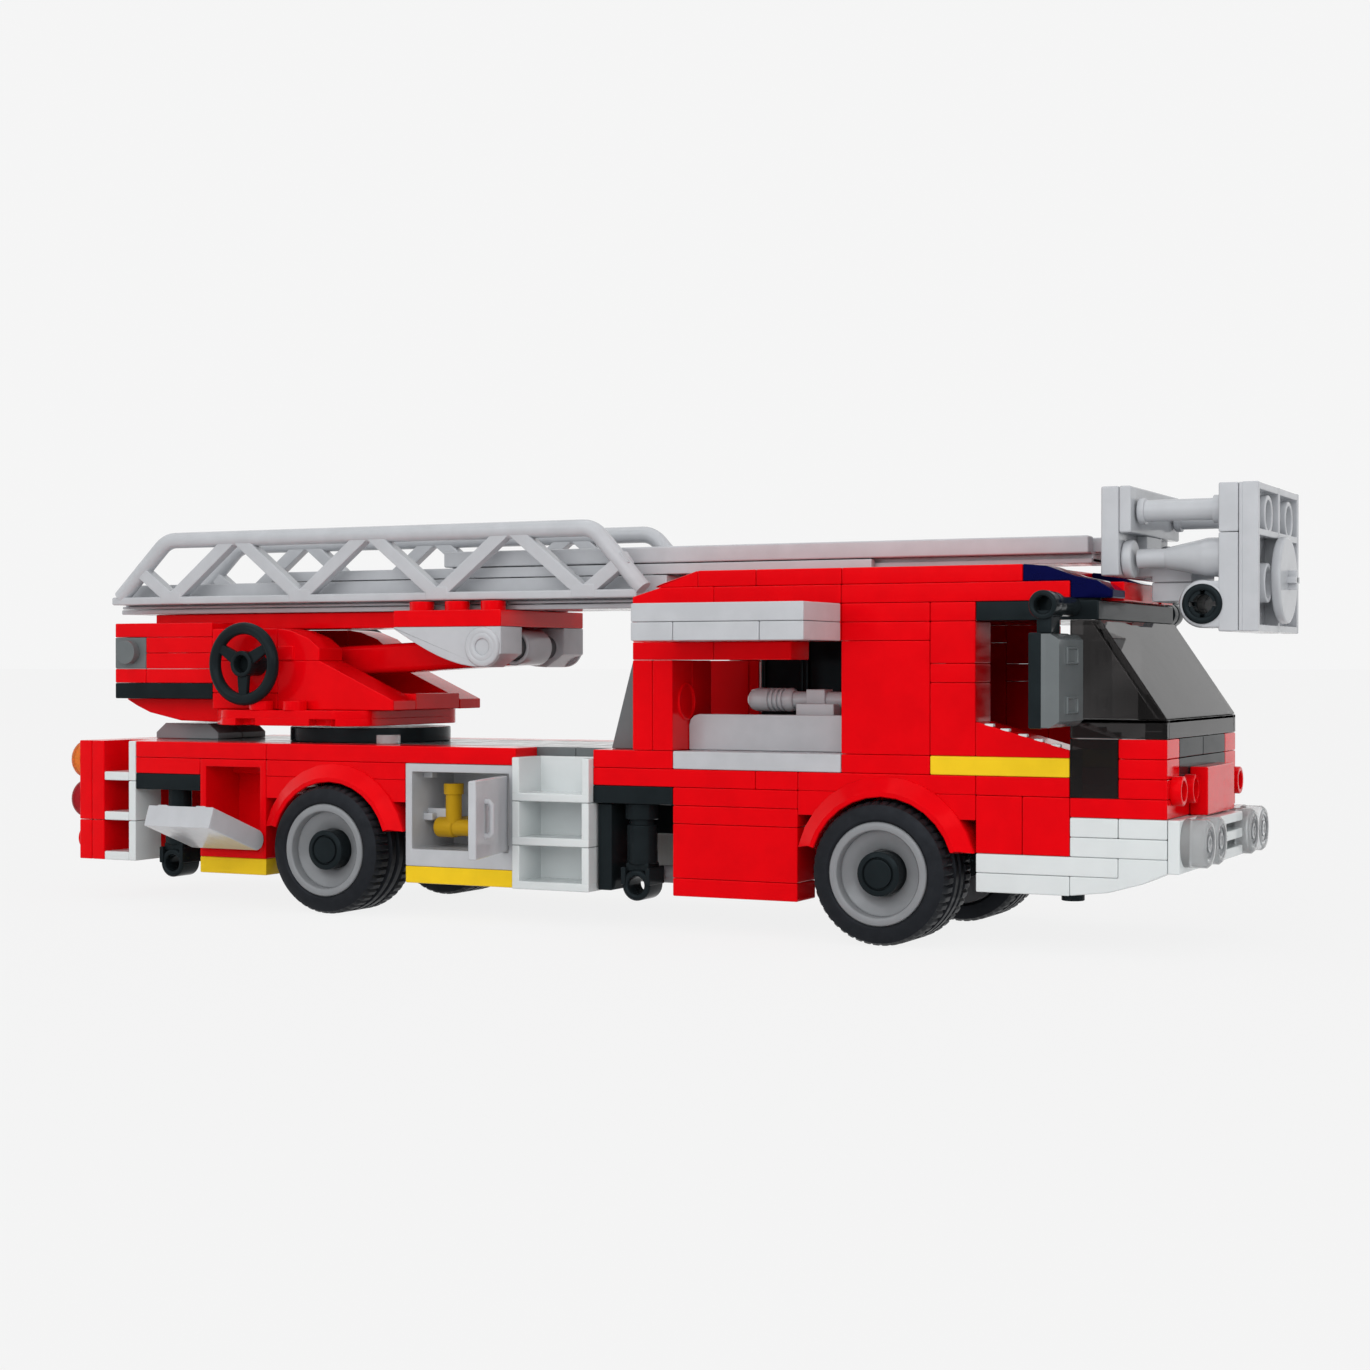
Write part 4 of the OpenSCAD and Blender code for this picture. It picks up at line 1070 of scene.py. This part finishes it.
y, z = side_y + 0.3 + 2.0, pz(-4.8)
x0, x1 = fx(24) + 0.2, fx(22) - 0.2
outline = [(y + 15, z - 2), (y + 15, z + 2)]
outline += [(y + 2 * math.cos(a), z + 2 * math.sin(a)) for a in np.linspace(np.pi / 2, 3 * np.pi / 2, 11)]
flap = [slab(outline, x0, x1, "x", 0.3, 0)]
flap += [box(x, x + 2.2, y + 13.7, y + 14.9, z + 1.9, z + 2.25, 0.12) for x in (x0 + 2.2, x1 - 4.4)]
hinged("drop_flap_panel", "drop_flap", flap, (y, z), FLAP_REST, (1, 2))


# %% [markdown]
# ## Stage, light and camera
# Soft light from above and from the side that is seen, a pale floor that keeps the shadow, and a lens as
# long as was used for such product views. The world and the floor look white to the camera and in
# reflections only, so the white background adds no light of its own.

# %% World
scene = bpy.context.scene
scene.view_settings.view_transform = "Standard"
BACKGROUND = 0.915
LIT = 0.45
world = bpy.data.worlds.new("studio")
scene.world = world
world.use_nodes = True
tree = world.node_tree
glow = tree.nodes["Background"]


def seen(tree):
    """1 where the ray comes from the camera, a reflection or a clear piece."""
    path_node = tree.nodes.new("ShaderNodeLightPath")
    value = path_node.outputs["Is Camera Ray"]
    for kind in ("Is Glossy Ray", "Is Transmission Ray"):
        either = tree.nodes.new("ShaderNodeMath")
        either.operation = "MAXIMUM"
        tree.links.new(value, either.inputs[0])
        tree.links.new(path_node.outputs[kind], either.inputs[1])
        value = either.outputs[0]
    return value


strength = remap(tree, seen(tree), 0.0, 1.0, LIT, BACKGROUND)
glow.inputs["Color"].default_value = (1, 1, 1, 1)
tree.links.new(strength, glow.inputs["Strength"])

# %% Floor
FLOOR_SIZE, FLOOR_GLOW = 40.0, 0.93
floor_mesh = bpy.data.meshes.new("floor")
corners = rect(-FLOOR_SIZE, FLOOR_SIZE, -FLOOR_SIZE, FLOOR_SIZE)
floor_mesh.from_pydata([(x, y, 0) for x, y in corners], [], [[0, 1, 2, 3]])
floor = bpy.data.objects.new("floor", floor_mesh)
scene.collection.objects.link(floor)
pale = bpy.data.materials.new("pale_floor")
pale.use_nodes = True
tree = pale.node_tree
base = tree.nodes["Principled BSDF"]
base.inputs["Base Color"].default_value = (0.8, 0.8, 0.8, 1)
base.inputs["Roughness"].default_value = 0.9
base.inputs["Specular IOR Level"].default_value = 0.0
white = node(tree, "ShaderNodeEmission", Color=(1, 1, 1, 1), Strength=BACKGROUND)
blend = tree.nodes.new("ShaderNodeMixShader")
factor = remap(tree, seen(tree), 0.0, 1.0, 0.0, FLOOR_GLOW)
tree.links.new(factor, blend.inputs["Fac"])
tree.links.new(base.outputs[0], blend.inputs[1])
tree.links.new(white.outputs[0], blend.inputs[2])
tree.links.new(blend.outputs[0], tree.nodes["Material Output"].inputs["Surface"])
floor_mesh.materials.append(pale)
floor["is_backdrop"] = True


# %% Lamps
def lamp(name, kind, place, aim, power):
    """A lamp that shines from a place towards another."""
    data = bpy.data.lights.new(name, kind)
    data.energy = power
    made = bpy.data.objects.new(name, data)
    made.location = place
    made.rotation_mode = "QUATERNION"
    made.rotation_quaternion = (Vector(aim) - Vector(place)).to_track_quat("-Z", "Y")
    scene.collection.objects.link(made)
    return data


MIDDLE = (0, 0, 0.04)
lamp("key", "SUN", (-0.15, -1.0, 0.50), MIDDLE, 0.80).angle = math.radians(50)
lamp("top", "SUN", (0.0, -0.1, 1.0), MIDDLE, 0.75).angle = math.radians(60)
lamp("front", "SUN", (1.0, -0.25, 0.30), MIDDLE, 0.52).angle = math.radians(40)
lamp("side", "AREA", (0.30, -0.62, 0.34), (0.06, 0, 0.04), 0.95).size = 0.35

# %% Camera
camera_data = bpy.data.cameras.new("camera")
camera_data.sensor_width = 36.0
camera_data.lens = 59.48
camera = bpy.data.objects.new("camera", camera_data)
camera.location = (0.19641, -0.38014, 0.04680)
camera.rotation_mode = "QUATERNION"
camera.rotation_quaternion = Vector((-0.4441, 0.8959, -0.00803)).to_track_quat("-Z", "Y")
scene.collection.objects.link(camera)
scene.camera = camera

# %% Sizes and counts
low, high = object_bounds()
faces = sum(len(p.data.polygons) for p in made_pieces)
print("pieces:", len(made_pieces), "faces:", faces)
